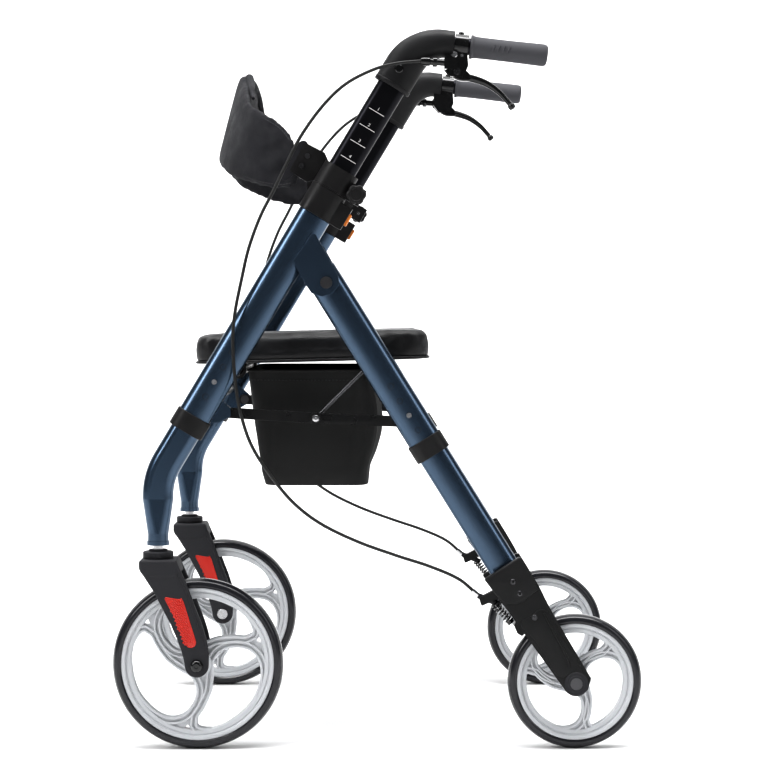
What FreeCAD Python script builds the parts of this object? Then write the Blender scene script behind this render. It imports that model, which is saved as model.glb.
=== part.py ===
import FreeCAD, Part
import Sketcher
import math
import os
from FreeCAD import Placement, Rotation, Vector

# Folding four-wheeled walking frame with seat, bag and loop brakes.
# Frame: +Z up, -X the direction of travel, +X towards the user, +Y the right-hand side.
# The origin is on the floor, under the centre of the frame's box. All sizes are in millimetres.

doc = FreeCAD.newDocument("rollator")

SIZES = {
    # side frames
    "half_track": 280, "main_tilt": 31, "rear_tilt": 31.94,
    "tube_long": 50, "tube_short": 30, "tube_wall": 1.7,
    "leg_long": 46, "leg_short": 26, "leg_wall": 2,
    "main_low": -86, "main_high": 288, "hole_pitch": 25.4, "hole_radius": 4.3,
    "collar_long": 55, "collar_short": 36, "collar_length": 28,
    "cross_radius": 11, "hinge_tube_radius": 9,
    # handle post and its clamp
    "post_long": 43.5, "post_short": 22, "post_gap": 0.4, "post_low": 256, "post_high": 545,
    "ring_long": 56, "ring_short": 37, "sleeve_length": 43, "ring_low": 331.3, "ring_length": 35,
    "knob_radius": 15, "knob_length": 16,
    # rear leg, measured down its axis from the fold pivot
    "rear_top": -20, "rear_end": 301, "rear_button": 231.2, "rear_leg_top": 145, "rear_leg_end": 512,
    # handle
    "bar_radius": 12.5, "grip_radius": 16.2, "grip_length": 115,
    # wheels
    "front_radius": 127, "rear_radius": 100, "tyre_depth": 13, "front_width": 32, "rear_width": 30,
    "rim_width": 26, "hub_radius": 19, "hub_length": 40, "axle_radius": 6, "running_gap": 0.05,
    # forks
    "fork_width": 62, "fork_gap": 41, "stem_radius": 8, "cap_radius": 22, "cap_length": 12.4,
    # braces
    "link_width": 16, "link_thick": 4, "rod_radius": 4, "pin_radius": 4,
    # seat and bag
    "seat_length": 354, "seat_half": 230, "pad_thick": 32, "board_thick": 10,
    "bag_half": 218, "bag_wall": 3,
    # brake
    "cable_radius": 2.5, "lever_thick": 12,
}

sheet = doc.addObject("Spreadsheet::Sheet", "dims")
for row, (alias, amount) in enumerate(SIZES.items(), start=1):
    sheet.set(f"A{row}", alias)
    sheet.set(f"B{row}", str(amount))
    sheet.setAlias(f"B{row}", alias)
doc.recompute()


def size(alias):
    """Returns one driving dimension from the sheet."""
    return float(sheet.get(alias))


SIDE = size("half_track")
MAIN = Placement(Vector(-241, -SIDE, 546), Rotation(Vector(0, 1, 0), size("main_tilt")))
FOLD = Placement(Vector(-75.5, -SIDE, 692.7), Rotation(Vector(0, 1, 0), -size("rear_tilt")))
FRONT_AXLE = Vector(-267, -SIDE, size("front_radius"))
REAR_AXLE = Vector(294, -SIDE, size("rear_radius"))
CASTER_X = -326
SEAT_HINGE = Vector(-215, 0, 560)
BRACE_FRONT = Vector(-228, 0, 499)
BRACE_MIDDLE = Vector(-92, 0, 490.5)
BRACE_REAR = Vector(53, 0, 485)
ROD_TOP = Vector(-12.5, 0, 569.5)
ELBOW = Vector(61.6, -SIDE, 1049.6)
GRIP_TILT = 6.5
LEVER_PIVOT = Vector(117.4, -SIDE, 1003.8)
SHOE_PIVOT = Vector(222, -SIDE, 195)

nodes = {}


def keep(label, piece):
    """Gives a sub-part its label and lists it for writing."""
    piece.Label = label
    nodes[label] = piece
    return piece


def along(frame, height, across=0, out=0):
    """Returns a placement on a tilted tube's own axis, height along it."""
    return frame.multiply(Placement(Vector(across, out, height), Rotation()))


def bind(piece, **expressions):
    """Binds properties of a piece to cells of the sheet."""
    for name, words in expressions.items():
        piece.setExpression(name, words)
    return piece


def cells(words):
    """Turns the #aliases in a formula into references to the sheet."""
    words = str(words)
    for alias in sorted(SIZES, key=len, reverse=True):
        words = words.replace("#" + alias, "dims." + alias)
    return words


def cylinder(name, radius, height, placement):
    """A Part cylinder whose radius and height are formulas of the sheet's #aliases."""
    piece = doc.addObject("Part::Cylinder", name)
    bind(piece, Radius=cells(radius), Height=cells(height))
    piece.Placement = placement
    return piece


def crosswise(centre, start, turn=90):
    """Placement of something whose own Z runs along -Y from Y = start."""
    return Placement(Vector(centre.x, start, centre.z), Rotation(Vector(1, 0, 0), turn))


def pin(name, centre, start, radius, height):
    """A cylinder across the frame, from Y = start towards -Y."""
    return cylinder(name, radius, height, crosswise(centre, start))


def box(name, length, width, height, placement):
    """A Part box whose sides are formulas of the sheet's #aliases."""
    piece = doc.addObject("Part::Box", name)
    bind(piece, Length=cells(length), Width=cells(width), Height=cells(height))
    piece.Placement = placement
    return piece


def fuse(name, *pieces):
    """Joins pieces into one solid."""
    piece = doc.addObject("Part::MultiFuse", name)
    piece.Shapes = list(pieces)
    piece.Refine = True
    return piece


def cut(name, base, *tools):
    """Cuts each tool from the base in turn."""
    for number, tool in enumerate(tools):
        piece = doc.addObject("Part::Cut", f"{name}_{number}")
        piece.Base = base
        piece.Tool = tool
        base = piece
    return base


def group(name, *pieces):
    """Keeps several solids of one node together."""
    piece = doc.addObject("Part::Compound", name)
    piece.Links = list(pieces)
    return piece


def mirrored(piece, name):
    """The same piece on the right-hand side."""
    twin = doc.addObject("Part::Mirroring", name)
    twin.Source = piece
    twin.Normal = (0, 1, 0)
    return twin


def pair(label, piece):
    """A node that holds the left and the right piece."""
    return keep(label, group(label, piece, mirrored(piece, label + "_twin")))


def both(label, piece):
    """Two nodes, left_ and right_, from the left piece."""
    keep("right_" + label, mirrored(piece, "right_" + label))
    return keep("left_" + label, piece)


def shaped(name, shape, placement=None):
    """A piece whose shape is worked out with Part's own functions."""
    piece = doc.addObject("Part::Feature", name)
    piece.Shape = shape
    if placement is not None:
        piece.Placement = placement
    return piece


def origin_plane(body, role):
    """Finds one of a body's own origin planes."""
    return next(f for f in body.Origin.OriginFeatures if f.Role == role)


def new_sketch(body, role, name):
    """A sketch on one of the body's own origin planes."""
    sketch = body.newObject("Sketcher::SketchObject", name)
    sketch.AttachmentSupport = [(origin_plane(body, role), "")]
    sketch.MapMode = "FlatFace"
    return sketch


def add_oval(sketch, long, short):
    """Adds an oval with straight sides, centred on the sketch, bound to the sheet."""
    first = sketch.GeometryCount
    half = 10.0
    radius = 5.0
    line = Part.LineSegment
    up = Vector(0, 0, 1)
    quarter = math.pi / 2
    sketch.addGeometry(line(Vector(half, -radius, 0), Vector(half, -radius, 0) + Vector(-2 * half, 0, 0)))
    sketch.addGeometry(Part.ArcOfCircle(Part.Circle(Vector(-half, 0, 0), up, radius), quarter, 3 * quarter))
    sketch.addGeometry(line(Vector(-half, radius, 0), Vector(half, radius, 0)))
    sketch.addGeometry(Part.ArcOfCircle(Part.Circle(Vector(half, 0, 0), up, radius), -quarter, quarter))
    low, left, high, right = range(first, first + 4)
    rule = Sketcher.Constraint
    sketch.addConstraint(rule("Tangent", low, 2, left, 2))
    sketch.addConstraint(rule("Tangent", left, 1, high, 1))
    sketch.addConstraint(rule("Tangent", high, 2, right, 2))
    sketch.addConstraint(rule("Tangent", right, 1, low, 1))
    sketch.addConstraint(rule("Horizontal", low))
    sketch.addConstraint(rule("Symmetric", left, 3, right, 3, -1, 1))
    sketch.addConstraint(rule("PointOnObject", right, 3, -1))
    radius_rule = sketch.addConstraint(rule("Radius", right, radius))
    reach_rule = sketch.addConstraint(rule("Distance", left, 3, right, 3, 2 * half))
    sketch.setExpression(f"Constraints[{radius_rule}]", cells(f"({short}) / 2"))
    sketch.setExpression(f"Constraints[{reach_rule}]", cells(f"({long}) - ({short})"))


def oval_body(name, long, short, length, placement, wall=None):
    """An oval bar or tube, padded up its own Z from the placement."""
    body = doc.addObject("PartDesign::Body", name)
    sketch = new_sketch(body, "XY_Plane", name + "_outline")
    add_oval(sketch, long, short)
    if wall:
        add_oval(sketch, f"{long} - 2 * {wall}", f"{short} - 2 * {wall}")
    pad = body.newObject("PartDesign::Pad", name + "_pad")
    pad.Profile = sketch
    bind(pad, Length=cells(length))
    body.Placement = placement
    return body


def plate_body(name, points, thickness, start, corner=0):
    """A flat plate in the XZ plane from its outline's points, Y = start to start + thickness."""
    body = doc.addObject("PartDesign::Body", name)
    sketch = new_sketch(body, "XZ_Plane", name + "_outline")
    corners = [Vector(x, z, 0) for x, z in points]
    count = len(corners)
    for number in range(count):
        sketch.addGeometry(Part.LineSegment(corners[number], corners[(number + 1) % count]))
    for number in range(count):
        sketch.addConstraint(Sketcher.Constraint("Coincident", number, 2, (number + 1) % count, 1))
        sketch.addConstraint(Sketcher.Constraint("Block", number))
    pad = body.newObject("PartDesign::Pad", name + "_pad")
    pad.Profile = sketch
    pad.Reversed = True
    bind(pad, Length=cells(thickness))
    if corner:
        doc.recompute()
        edges = [f"Edge{n}" for n, e in enumerate(pad.Shape.Edges, start=1)
                 if abs(e.tangentAt(e.FirstParameter).y) > 0.99]
        rounding = body.newObject("PartDesign::Fillet", name + "_corners")
        rounding.Base = (pad, edges)
        rounding.Radius = corner
    body.Placement = Placement(Vector(0, start, 0), Rotation())
    return body


def smooth_path(points, share=0.45):
    """Straight runs joined by tangent arcs through a list of points; returns the wire and its radii."""
    edges = []
    radii = []
    start = points[0]
    for before, corner, after in zip(points, points[1:], points[2:]):
        run_in = (corner - before).normalize()
        run_out = (after - corner).normalize()
        half_turn = run_in.getAngle(run_out) / 2
        reach = share * min(corner.distanceToPoint(before), corner.distanceToPoint(after))
        radius = reach / math.tan(half_turn)
        entry = corner - run_in * reach
        leave = corner + run_out * reach
        inward = (run_out - run_in).normalize()
        centre = corner + inward * (radius / math.cos(half_turn))
        edges.append(Part.LineSegment(start, entry).toShape())
        edges.append(Part.Arc(entry, centre - inward * radius, leave).toShape())
        radii.append(radius)
        start = leave
    edges.append(Part.LineSegment(start, points[-1]).toShape())
    return Part.Wire(edges), radii


def round_tube(points, radius, share=0.45):
    """A solid round bar along the smooth path through the points."""
    path, radii = smooth_path(points, share)
    ring = Part.Wire(Part.Circle(points[0], points[1] - points[0], radius).toShape())
    bar = path.makePipeShell([ring], True, False)
    wanted = math.pi * radius ** 2 * path.Length
    print(f"bar r {radius}: least bend {min(radii):.0f}, volume / length x section {bar.Volume / wanted:.3f}")
    return bar


def oval_wire(long, short, placement):
    """An oval section, long side along the placement's X and short side along its Y."""
    half = (long - short) / 2
    radius = short / 2
    edges = [
        Part.LineSegment(Vector(half, -radius, 0), Vector(-half, -radius, 0)).toShape(),
        Part.Arc(Vector(-half, -radius, 0), Vector(-half - radius, 0, 0), Vector(-half, radius, 0)).toShape(),
        Part.LineSegment(Vector(-half, radius, 0), Vector(half, radius, 0)).toShape(),
        Part.Arc(Vector(half, radius, 0), Vector(half + radius, 0, 0), Vector(half, -radius, 0)).toShape(),
    ]
    wire = Part.Wire(edges)
    wire.Placement = placement
    return wire


def side_holes(name, frame, heights):
    """Round holes through a tube's outer wall at the given heights up its axis."""
    holes = []
    for number, height in enumerate(heights):
        centre = along(frame, height).Base
        holes.append(pin(f"{name}_{number}", centre, -SIDE - 8, "#hole_radius", "12"))
    return group(name, *holes)


# Front frame: oval main tubes, their collars, cross tubes and hinge brackets.
def build_front_frame():
    """Builds everything that is fixed to the two main tubes."""
    pitch = size("hole_pitch")
    tube = oval_body("main_tube", "#tube_long", "#tube_short", "#main_high - #main_low",
                     along(MAIN, size("main_low")), "#tube_wall")
    holes = side_holes("main_holes", MAIN, [2 * pitch, pitch, 0, -pitch])
    pair("main_tubes", cut("main_tube_drilled", tube, holes))

    low_collar = oval_body("low_collar", "#collar_long", "#collar_short", "#collar_length",
                           along(MAIN, size("main_low")))
    low_bore = oval_body("low_collar_bore", "#tube_long", "#tube_short", "#collar_length + 2",
                         along(MAIN, size("main_low") - 1))
    sleeve_low = size("main_high") + 0.2
    sleeve = oval_body("sleeve", "#ring_long", "#ring_short", "#sleeve_length", along(MAIN, sleeve_low))
    lobe = box("release_housing", 22, 24, 36, along(MAIN, sleeve_low, 22, -12))
    bore = oval_body("sleeve_bore", "#post_long + 2 * #post_gap", "#post_short + 2 * #post_gap",
                     "#sleeve_length + 2", along(MAIN, sleeve_low - 1))
    release_well = box("release_well", 14, 14.6, 20, along(MAIN, sleeve_low + 8, 31, -7.3))
    collars = group("side_collars", cut("low_collar_cut", low_collar, low_bore),
                    cut("sleeve_cut", fuse("sleeve_and_lobe", sleeve, lobe), bore, release_well))
    pair("main_collars", collars)
    button = box("release_button", 12, 14, 19, along(MAIN, sleeve_low + 8.5, 36.2, -7))
    both("release_button", button)

    ring_low = size("ring_low")
    ring = oval_body("clamp_ring", "#ring_long", "#ring_short", "#ring_length", along(MAIN, ring_low))
    ears = box("clamp_ears", 30, 24, 26, along(MAIN, ring_low, 18, -12))
    ring_bore = oval_body("ring_bore", "#post_long + 2 * #post_gap", "#post_short + 2 * #post_gap",
                          "#ring_length + 2", along(MAIN, ring_low - 1))
    split = box("clamp_split", 30, 3, 26, along(MAIN, ring_low + 4, 21, -1.5))
    knob_centre = along(MAIN, ring_low + 13, 38).Base
    knob_hole = pin("knob_hole", knob_centre, -SIDE + 13, "3.05", "26")
    outline = [(-107, 901), (-78, 886), (-72, 872), (-88, 846), (-106, 843), (-131, 859.5)]
    back_plate = plate_body("back_plate", outline, "4", -SIDE + 14, 3)
    clamp = cut("clamp_cut", fuse("clamp_and_ears", ring, ears), ring_bore, split, knob_hole)
    pair("backrest_clamps", fuse("clamp_with_plate", clamp, back_plate))

    shank = pin("knob_shank", knob_centre, -SIDE + 11, "3", "24")
    head = pin("knob_head", knob_centre, -SIDE - 13, "#knob_radius", "#knob_length")
    lobes = []
    for number in range(6):
        angle = math.radians(60 * number)
        reach = size("knob_radius") + 2.5
        spot = knob_centre + Vector(reach * math.cos(angle), 0, reach * math.sin(angle))
        lobes.append(pin(f"knob_flute_{number}", spot, -SIDE - 12, "5", "#knob_length + 2"))
    both("clamp_knob", cut("knob_cut", fuse("knob_solid", shank, head), *lobes))

    plate = [(-94, 769), (-124, 724), (-106, 690), (-97, 677), (-82, 672), (-67, 676), (-56, 690), (-58, 704)]
    outer = plate_body("hinge_plate_outer", plate, "3", -SIDE - 18.3, 4)
    inner = plate_body("hinge_plate_inner", plate, "3", -SIDE + 15.3, 4)
    brace_plate = [(-259, 491), (-252, 484), (-236, 484), (-219, 494), (-219, 506), (-243, 528), (-252, 514)]
    brace_ear = cut("brace_ear_cut", plate_body("brace_ear", brace_plate, "3.7", -SIDE + 15.3, 3),
                    pin("brace_ear_hole", along(MAIN, -30).Base, -SIDE + 24, "#cross_radius + #running_gap", "12"))
    brackets = group("hinge_plates", cut("outer_plate_drilled", outer, pin("hinge_hole_outer",
                     FOLD.Base, -SIDE - 15, "5", "5")), cut("inner_plate_drilled", inner,
                     pin("hinge_hole_inner", FOLD.Base, -SIDE + 19, "5", "5")), brace_ear)
    pair("hinge_brackets", brackets)

    pivot = pin("fold_pin", FOLD.Base, -SIDE + 21, "5", "42")
    pivot_heads = [pin("fold_head", FOLD.Base, -SIDE - 18.4, "9", "4"),
                   pin("fold_nut", FOLD.Base, -SIDE + 22.4, "8", "4")]
    brace_pin = pin("brace_front_pin", BRACE_FRONT, -SIDE + 31, "#pin_radius", "12")
    brace_head = pin("brace_front_head", BRACE_FRONT, -SIDE + 31.8, "7", "2.4")
    plate_screws = []
    for number, (x, z) in enumerate([(-103.8, 881.3), (-112.6, 866.5)]):
        plate_screws.append(pin(f"plate_screw_{number}", Vector(x, 0, z), -SIDE + 14, "4", "2.5"))
    pair("frame_bolts", group("side_bolts", fuse("fold_bolt", pivot, *pivot_heads),
                              fuse("brace_front_bolt", brace_pin, brace_head), *plate_screws))

    span = "2 * (#half_track - #tube_short / 2)"
    cross = crosswise(along(MAIN, -30).Base, SIDE - size("tube_short") / 2)
    seat_tube = crosswise(SEAT_HINGE, SIDE - size("tube_short") / 2)
    keep("front_cross_tubes", group("cross_tubes",
         cut("front_cross_tube", cylinder("front_cross", "#cross_radius", span, cross),
             cylinder("front_cross_bore", "#cross_radius - #leg_wall", span, cross)),
         cut("seat_cross_tube", cylinder("seat_hinge_tube", "#hinge_tube_radius", span, seat_tube),
             cylinder("seat_tube_bore", "#hinge_tube_radius - #leg_wall", span, seat_tube))))


# Rear frame: the legs that fold forwards about the pivot, with their cross tube.
def build_rear_frame():
    """Builds the rear tubes, their collars and the cross tube under the seat."""
    pitch = size("hole_pitch")
    button = -size("rear_button")
    tube = oval_body("rear_tube", "#tube_long", "#tube_short", "#rear_end - #rear_top",
                     along(FOLD, -size("rear_end")), "#tube_wall")
    top_cap = oval_body("rear_tube_cap", "#tube_long", "#tube_short", "44", along(FOLD, -24))
    holes = side_holes("rear_holes", FOLD, [button + 2 * pitch, button + pitch, button, button - pitch])
    pivot_hole = pin("rear_pivot_hole", FOLD.Base, -SIDE + 16, "5 + #running_gap", "32")
    brace_pin = pin("brace_rear_pin", BRACE_REAR, -SIDE + 26, "#pin_radius", "12")
    brace_head = pin("brace_rear_head", BRACE_REAR, -SIDE + 26.6, "7", "2.2")
    side = fuse("rear_side", cut("rear_tube_drilled", fuse("rear_tube_capped", tube, top_cap), holes,
                                 pivot_hole), brace_pin, brace_head)
    place = crosswise(along(FOLD, -157).Base, SIDE - size("tube_short") / 2)
    span = "2 * (#half_track - #tube_short / 2)"
    cross = cut("rear_cross_tube", cylinder("rear_cross", "#cross_radius - 1", span, place),
                cylinder("rear_cross_bore", "#cross_radius - 1 - #leg_wall", span, place))
    keep("rear_tubes", group("rear_tube_set", side, mirrored(side, "rear_side_twin"), cross))
    collar = oval_body("rear_collar", "#collar_long", "#collar_short", "#collar_length",
                       along(FOLD, -size("rear_end")))
    collar_bore = oval_body("rear_collar_bore", "#tube_long", "#tube_short", "#collar_length + 2",
                            along(FOLD, -size("rear_end") - 1))
    pair("rear_collars", cut("rear_collar_cut", collar, collar_bore))


def snap_button(label, frame, height):
    """A sprung button through the tube wall, on a strip inside the leg."""
    centre = along(frame, height).Base
    button = pin(label + "_stud", centre, -SIDE - 9, "#hole_radius - 0.4", "9")
    strip = box(label + "_strip", 9, 1.2, 40, along(frame, height - 6, -4.5, -9.6))
    both(label, fuse(label + "_solid", button, strip))


# Front legs: they slide in the main tubes and carry the casters.
def build_front_legs():
    """Builds the bent lower legs, their snap buttons and the caster stems and forks."""
    long = size("leg_long")
    short = size("leg_short")
    tilt = math.radians(size("main_tilt"))
    bend = MAIN.Base + Vector(math.sin(tilt), 0, math.cos(tilt)) * ((CASTER_X - MAIN.Base.x) / math.sin(tilt))
    top = along(MAIN, 60)
    straight_end = Vector(CASTER_X, -SIDE, 372)
    direction = (bend - top.Base).normalize()
    reach = 28
    entry = bend - direction * reach
    leave = bend - Vector(0, 0, reach)
    radius = reach / math.tan(tilt / 2)
    inward = (Vector(0, 0, -1) - direction).normalize()
    middle = bend + inward * (radius / math.cos(tilt / 2) - radius)
    path = Part.Wire([Part.LineSegment(top.Base, entry).toShape(), Part.Arc(entry, middle, leave).toShape(),
                      Part.LineSegment(leave, straight_end).toShape()])
    upper = path.makePipeShell([oval_wire(long, short, top)], True, False)
    foot_top = oval_wire(long, short, Placement(straight_end, Rotation()))
    foot_low = oval_wire(31.5, 31, Placement(Vector(CASTER_X, -SIDE, 321), Rotation()))
    taper = Part.makeLoft([foot_low, foot_top], True, True)
    bar = shaped("front_leg_bar", upper.fuse(taper).removeSplitter())
    neck = cylinder("front_leg_neck", "15.5", "17", Placement(Vector(CASTER_X, -SIDE, 304), Rotation()))
    flare = cylinder("front_leg_flare", "16.8", "6", Placement(Vector(CASTER_X, -SIDE, 303.4), Rotation()))
    hollow = oval_body("front_leg_hollow", "#leg_long - 2 * #leg_wall", "#leg_short - 2 * #leg_wall",
                       "120", along(MAIN, -50))
    hole = pin("front_leg_hole", MAIN.Base, -SIDE - 8, "#hole_radius", "12")
    bearing = cylinder("stem_bearing", "#stem_radius + #running_gap", "46",
                       Placement(Vector(CASTER_X, -SIDE, 300), Rotation()))
    both("front_leg", cut("front_leg_cut", fuse("front_leg_solid", bar, neck, flare), hollow, hole, bearing))
    snap_button("front_snap_button", MAIN, 0)

    stem = cylinder("stem", "#stem_radius", "68", Placement(Vector(CASTER_X, -SIDE, 276), Rotation()))
    axle = pin("front_axle", FRONT_AXLE, -SIDE + 33, "#axle_radius", "66")
    nuts = [pin("front_axle_head", FRONT_AXLE, -SIDE + 35, "9", "4"),
            pin("front_axle_nut", FRONT_AXLE, -SIDE - 31, "9", "4")]
    both("caster_stem_and_axle", group("stem_set", stem, fuse("front_axle_solid", axle, *nuts)))

    outline = [(-354, 281), (-354, 268), (-340, 244), (-318, 208), (-302, 168), (-292, 126), (-283, 112),
               (-267, 106), (-252, 114), (-248, 130), (-255, 158), (-267, 198), (-284, 232), (-300, 262),
               (-300, 281)]
    shell = plate_body("caster_shell", outline, "#fork_width", -SIDE - size("fork_width") / 2, 5)
    cap = cylinder("caster_cap", "#cap_radius", "#cap_length",
                   Placement(Vector(CASTER_X, -SIDE, 281.6 - 0.6), Rotation()))
    well = pin("caster_well", FRONT_AXLE, -SIDE + size("fork_gap") / 2, "#front_radius + 9", "#fork_gap")
    stem_hole = cylinder("caster_stem_hole", "#stem_radius", "30",
                         Placement(Vector(CASTER_X, -SIDE, 270), Rotation()))
    axle_hole = pin("caster_axle_hole", FRONT_AXLE, -SIDE + 40, "#axle_radius", "80")
    both("caster_fork", cut("caster_cut", fuse("caster_solid", shell, cap), well, stem_hole, axle_hole))
    lens = [(-313, 226), (-306, 231), (-296, 231), (-290, 224), (-271, 158), (-275, 151), (-281, 150), (-286, 155)]
    both("reflector", plate_body("reflector_lens", lens, "1.5", -SIDE - size("fork_width") / 2 - 1.5, 2))


def build_wheel(label, centre, radius, width):
    """A spoked wheel: a turned rim with its hub, three windows, and a round-shouldered tyre."""
    depth = size("tyre_depth")
    outer = size(radius)
    half = size(width) / 2
    rim_outer = outer - depth
    rim_half = size("rim_width") / 2
    hub = size("hub_radius")
    hub_half = size("hub_length") / 2
    bore = size("axle_radius") + size("running_gap")
    profile = [(bore, -hub_half), (hub, -hub_half), (hub + 2, -9), (rim_outer - 12, -7), (rim_outer - 8, -rim_half),
               (rim_outer, -rim_half), (rim_outer, rim_half), (rim_outer - 8, rim_half), (rim_outer - 12, 7),
               (hub + 2, 9), (hub, hub_half), (bore, hub_half)]
    body = doc.addObject("PartDesign::Body", label + "_rim_body")
    sketch = new_sketch(body, "XZ_Plane", label + "_rim_profile")
    spots = [Vector(x, z, 0) for x, z in profile]
    for number in range(len(spots)):
        sketch.addGeometry(Part.LineSegment(spots[number], spots[(number + 1) % len(spots)]))
        sketch.addConstraint(Sketcher.Constraint("Block", number))
    turned = body.newObject("PartDesign::Revolution", label + "_rim_turned")
    turned.Profile = sketch
    turned.ReferenceAxis = (sketch, ["V_Axis"])
    turned.Angle = 360
    window_sketch = new_sketch(body, "XY_Plane", label + "_window_outline")
    inner = hub + 8
    outer_edge = rim_outer - 15
    corners = [(inner + 2, -8), (inner + 16, -26), (outer_edge * 0.86, -outer_edge * 0.5),
               (outer_edge * 0.99, 0), (outer_edge * 0.84, outer_edge * 0.52), (inner + 10, 22)]
    spots = [Vector(x, y, 0) for x, y in corners]
    for number in range(len(spots)):
        window_sketch.addGeometry(Part.LineSegment(spots[number], spots[(number + 1) % len(spots)]))
        window_sketch.addConstraint(Sketcher.Constraint("Block", number))
    window = body.newObject("PartDesign::Pocket", label + "_window")
    window.Profile = window_sketch
    window.Type = "ThroughAll"
    window.Midplane = True
    pattern = body.newObject("PartDesign::PolarPattern", label + "_windows")
    pattern.Originals = [window]
    pattern.Axis = (window_sketch, ["N_Axis"])
    pattern.Angle = 360
    pattern.Occurrences = 3
    body.Tip = pattern
    body.Placement = crosswise(centre, -SIDE)
    both(label + "_rim", body)
    tyre = cylinder(label + "_tyre_solid", "#" + radius, "#" + width, crosswise(centre, -SIDE + half))
    tyre_edges = doc.addObject("Part::Fillet", label + "_tyre_round")
    tyre_edges.Base = tyre
    doc.recompute()
    rounds = [n for n, e in enumerate(tyre.Shape.Edges, start=1) if isinstance(e.Curve, Part.Circle)]
    tyre_edges.Edges = [(n, depth * 0.7, depth * 0.7) for n in rounds]
    seat = pin(label + "_tyre_seat", centre, -SIDE + half + 1, "#" + radius + " - #tyre_depth",
               "#" + width + " + 2")
    both(label + "_tyre", cut(label + "_tyre_cut", tyre_edges, seat))


# Rear legs: they slide in the rear tubes and carry the wheel forks and brakes.
def build_rear_legs():
    """Builds the rear legs, forks, axles, brake shoes and their springs."""
    down = size("rear_leg_end")
    leg = oval_body("rear_leg_bar", "#leg_long", "#leg_short", "#rear_leg_end - #rear_leg_top",
                    along(FOLD, -down), "#leg_wall")
    button = along(FOLD, -size("rear_button")).Base
    both("rear_leg", cut("rear_leg_cut", leg, pin("rear_leg_hole", button, -SIDE - 8, "#hole_radius", "12")))
    snap_button("rear_snap_button", FOLD, -size("rear_button"))

    outline = [(165, 247), (218, 279), (229, 261), (240, 242), (254, 214), (264, 196), (316, 108), (311, 90),
               (294, 83), (279, 88), (224, 165), (208, 187), (194, 206), (174, 232)]
    shell = plate_body("rear_shell", outline, "#fork_width - 2", -SIDE - size("fork_width") / 2 + 1, 4)
    arm = plate_body("cable_stop_arm", [(182, 240), (151, 224), (155, 212), (186, 226)], "12", -SIDE - 6, 2)
    well = pin("rear_well", REAR_AXLE, -SIDE + size("fork_gap") / 2, "#rear_radius + 30", "#fork_gap")
    socket = oval_body("rear_leg_socket", "#leg_long", "#leg_short", "60", along(FOLD, -down))
    axle_hole = pin("rear_axle_hole", REAR_AXLE, -SIDE + 40, "#axle_radius", "80")
    shoe_pin = pin("shoe_pin", SHOE_PIVOT, -SIDE + 24, "3", "48")
    wire_hole = cylinder("wire_hole", 1.5, 60, Placement(Vector(148, -SIDE, 240), Rotation(Vector(0, 1, 0), 140)))
    both("rear_fork", fuse("rear_fork_solid", cut("rear_fork_cut", fuse("rear_fork_shell", shell, arm),
                           well, socket, axle_hole, wire_hole), shoe_pin))

    axle = fuse("rear_axle", pin("rear_axle_bar", REAR_AXLE, -SIDE + 32, "#axle_radius", "64"),
                pin("rear_axle_head", REAR_AXLE, -SIDE + 34, "9", "4"),
                pin("rear_axle_nut", REAR_AXLE, -SIDE - 30, "9", "4"))
    screws = []
    for number, (x, z) in enumerate([(200, 251.5), (210, 234), (232, 198.4)]):
        screws.append(pin(f"fork_screw_{number}", Vector(x, 0, z), -SIDE - 30, "4.5", "2"))
    both("rear_axle_and_screws", group("rear_hardware", axle, *screws))

    shoe = [(217, 201), (228, 199), (231, 184), (223, 176), (215, 168), (208, 172), (203, 184), (209, 195)]
    shoe_bore = pin("shoe_bore", SHOE_PIVOT, -SIDE + 20, "3 + #running_gap", "40")
    both("brake_shoe", cut("shoe_cut", plate_body("shoe_block", shoe, "26", -SIDE - 13, 2), shoe_bore))
    coil_low = Vector(197, -SIDE, 189)
    coil_top = Vector(173.8, -SIDE, 215.5)
    turn = Rotation(Vector(0, 0, 1), coil_top - coil_low)
    coil = cylinder("spring_coil", 5.5, (coil_top - coil_low).Length, Placement(coil_low, turn))
    coil_bore = cylinder("spring_bore", 4, 60, Placement(coil_low, turn))
    wire = cylinder("brake_wire", 0.9, (coil_top - coil_low).Length, Placement(coil_low, turn))
    both("brake_spring", group("spring_set", cut("spring_cut", coil, coil_bore), wire))


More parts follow.
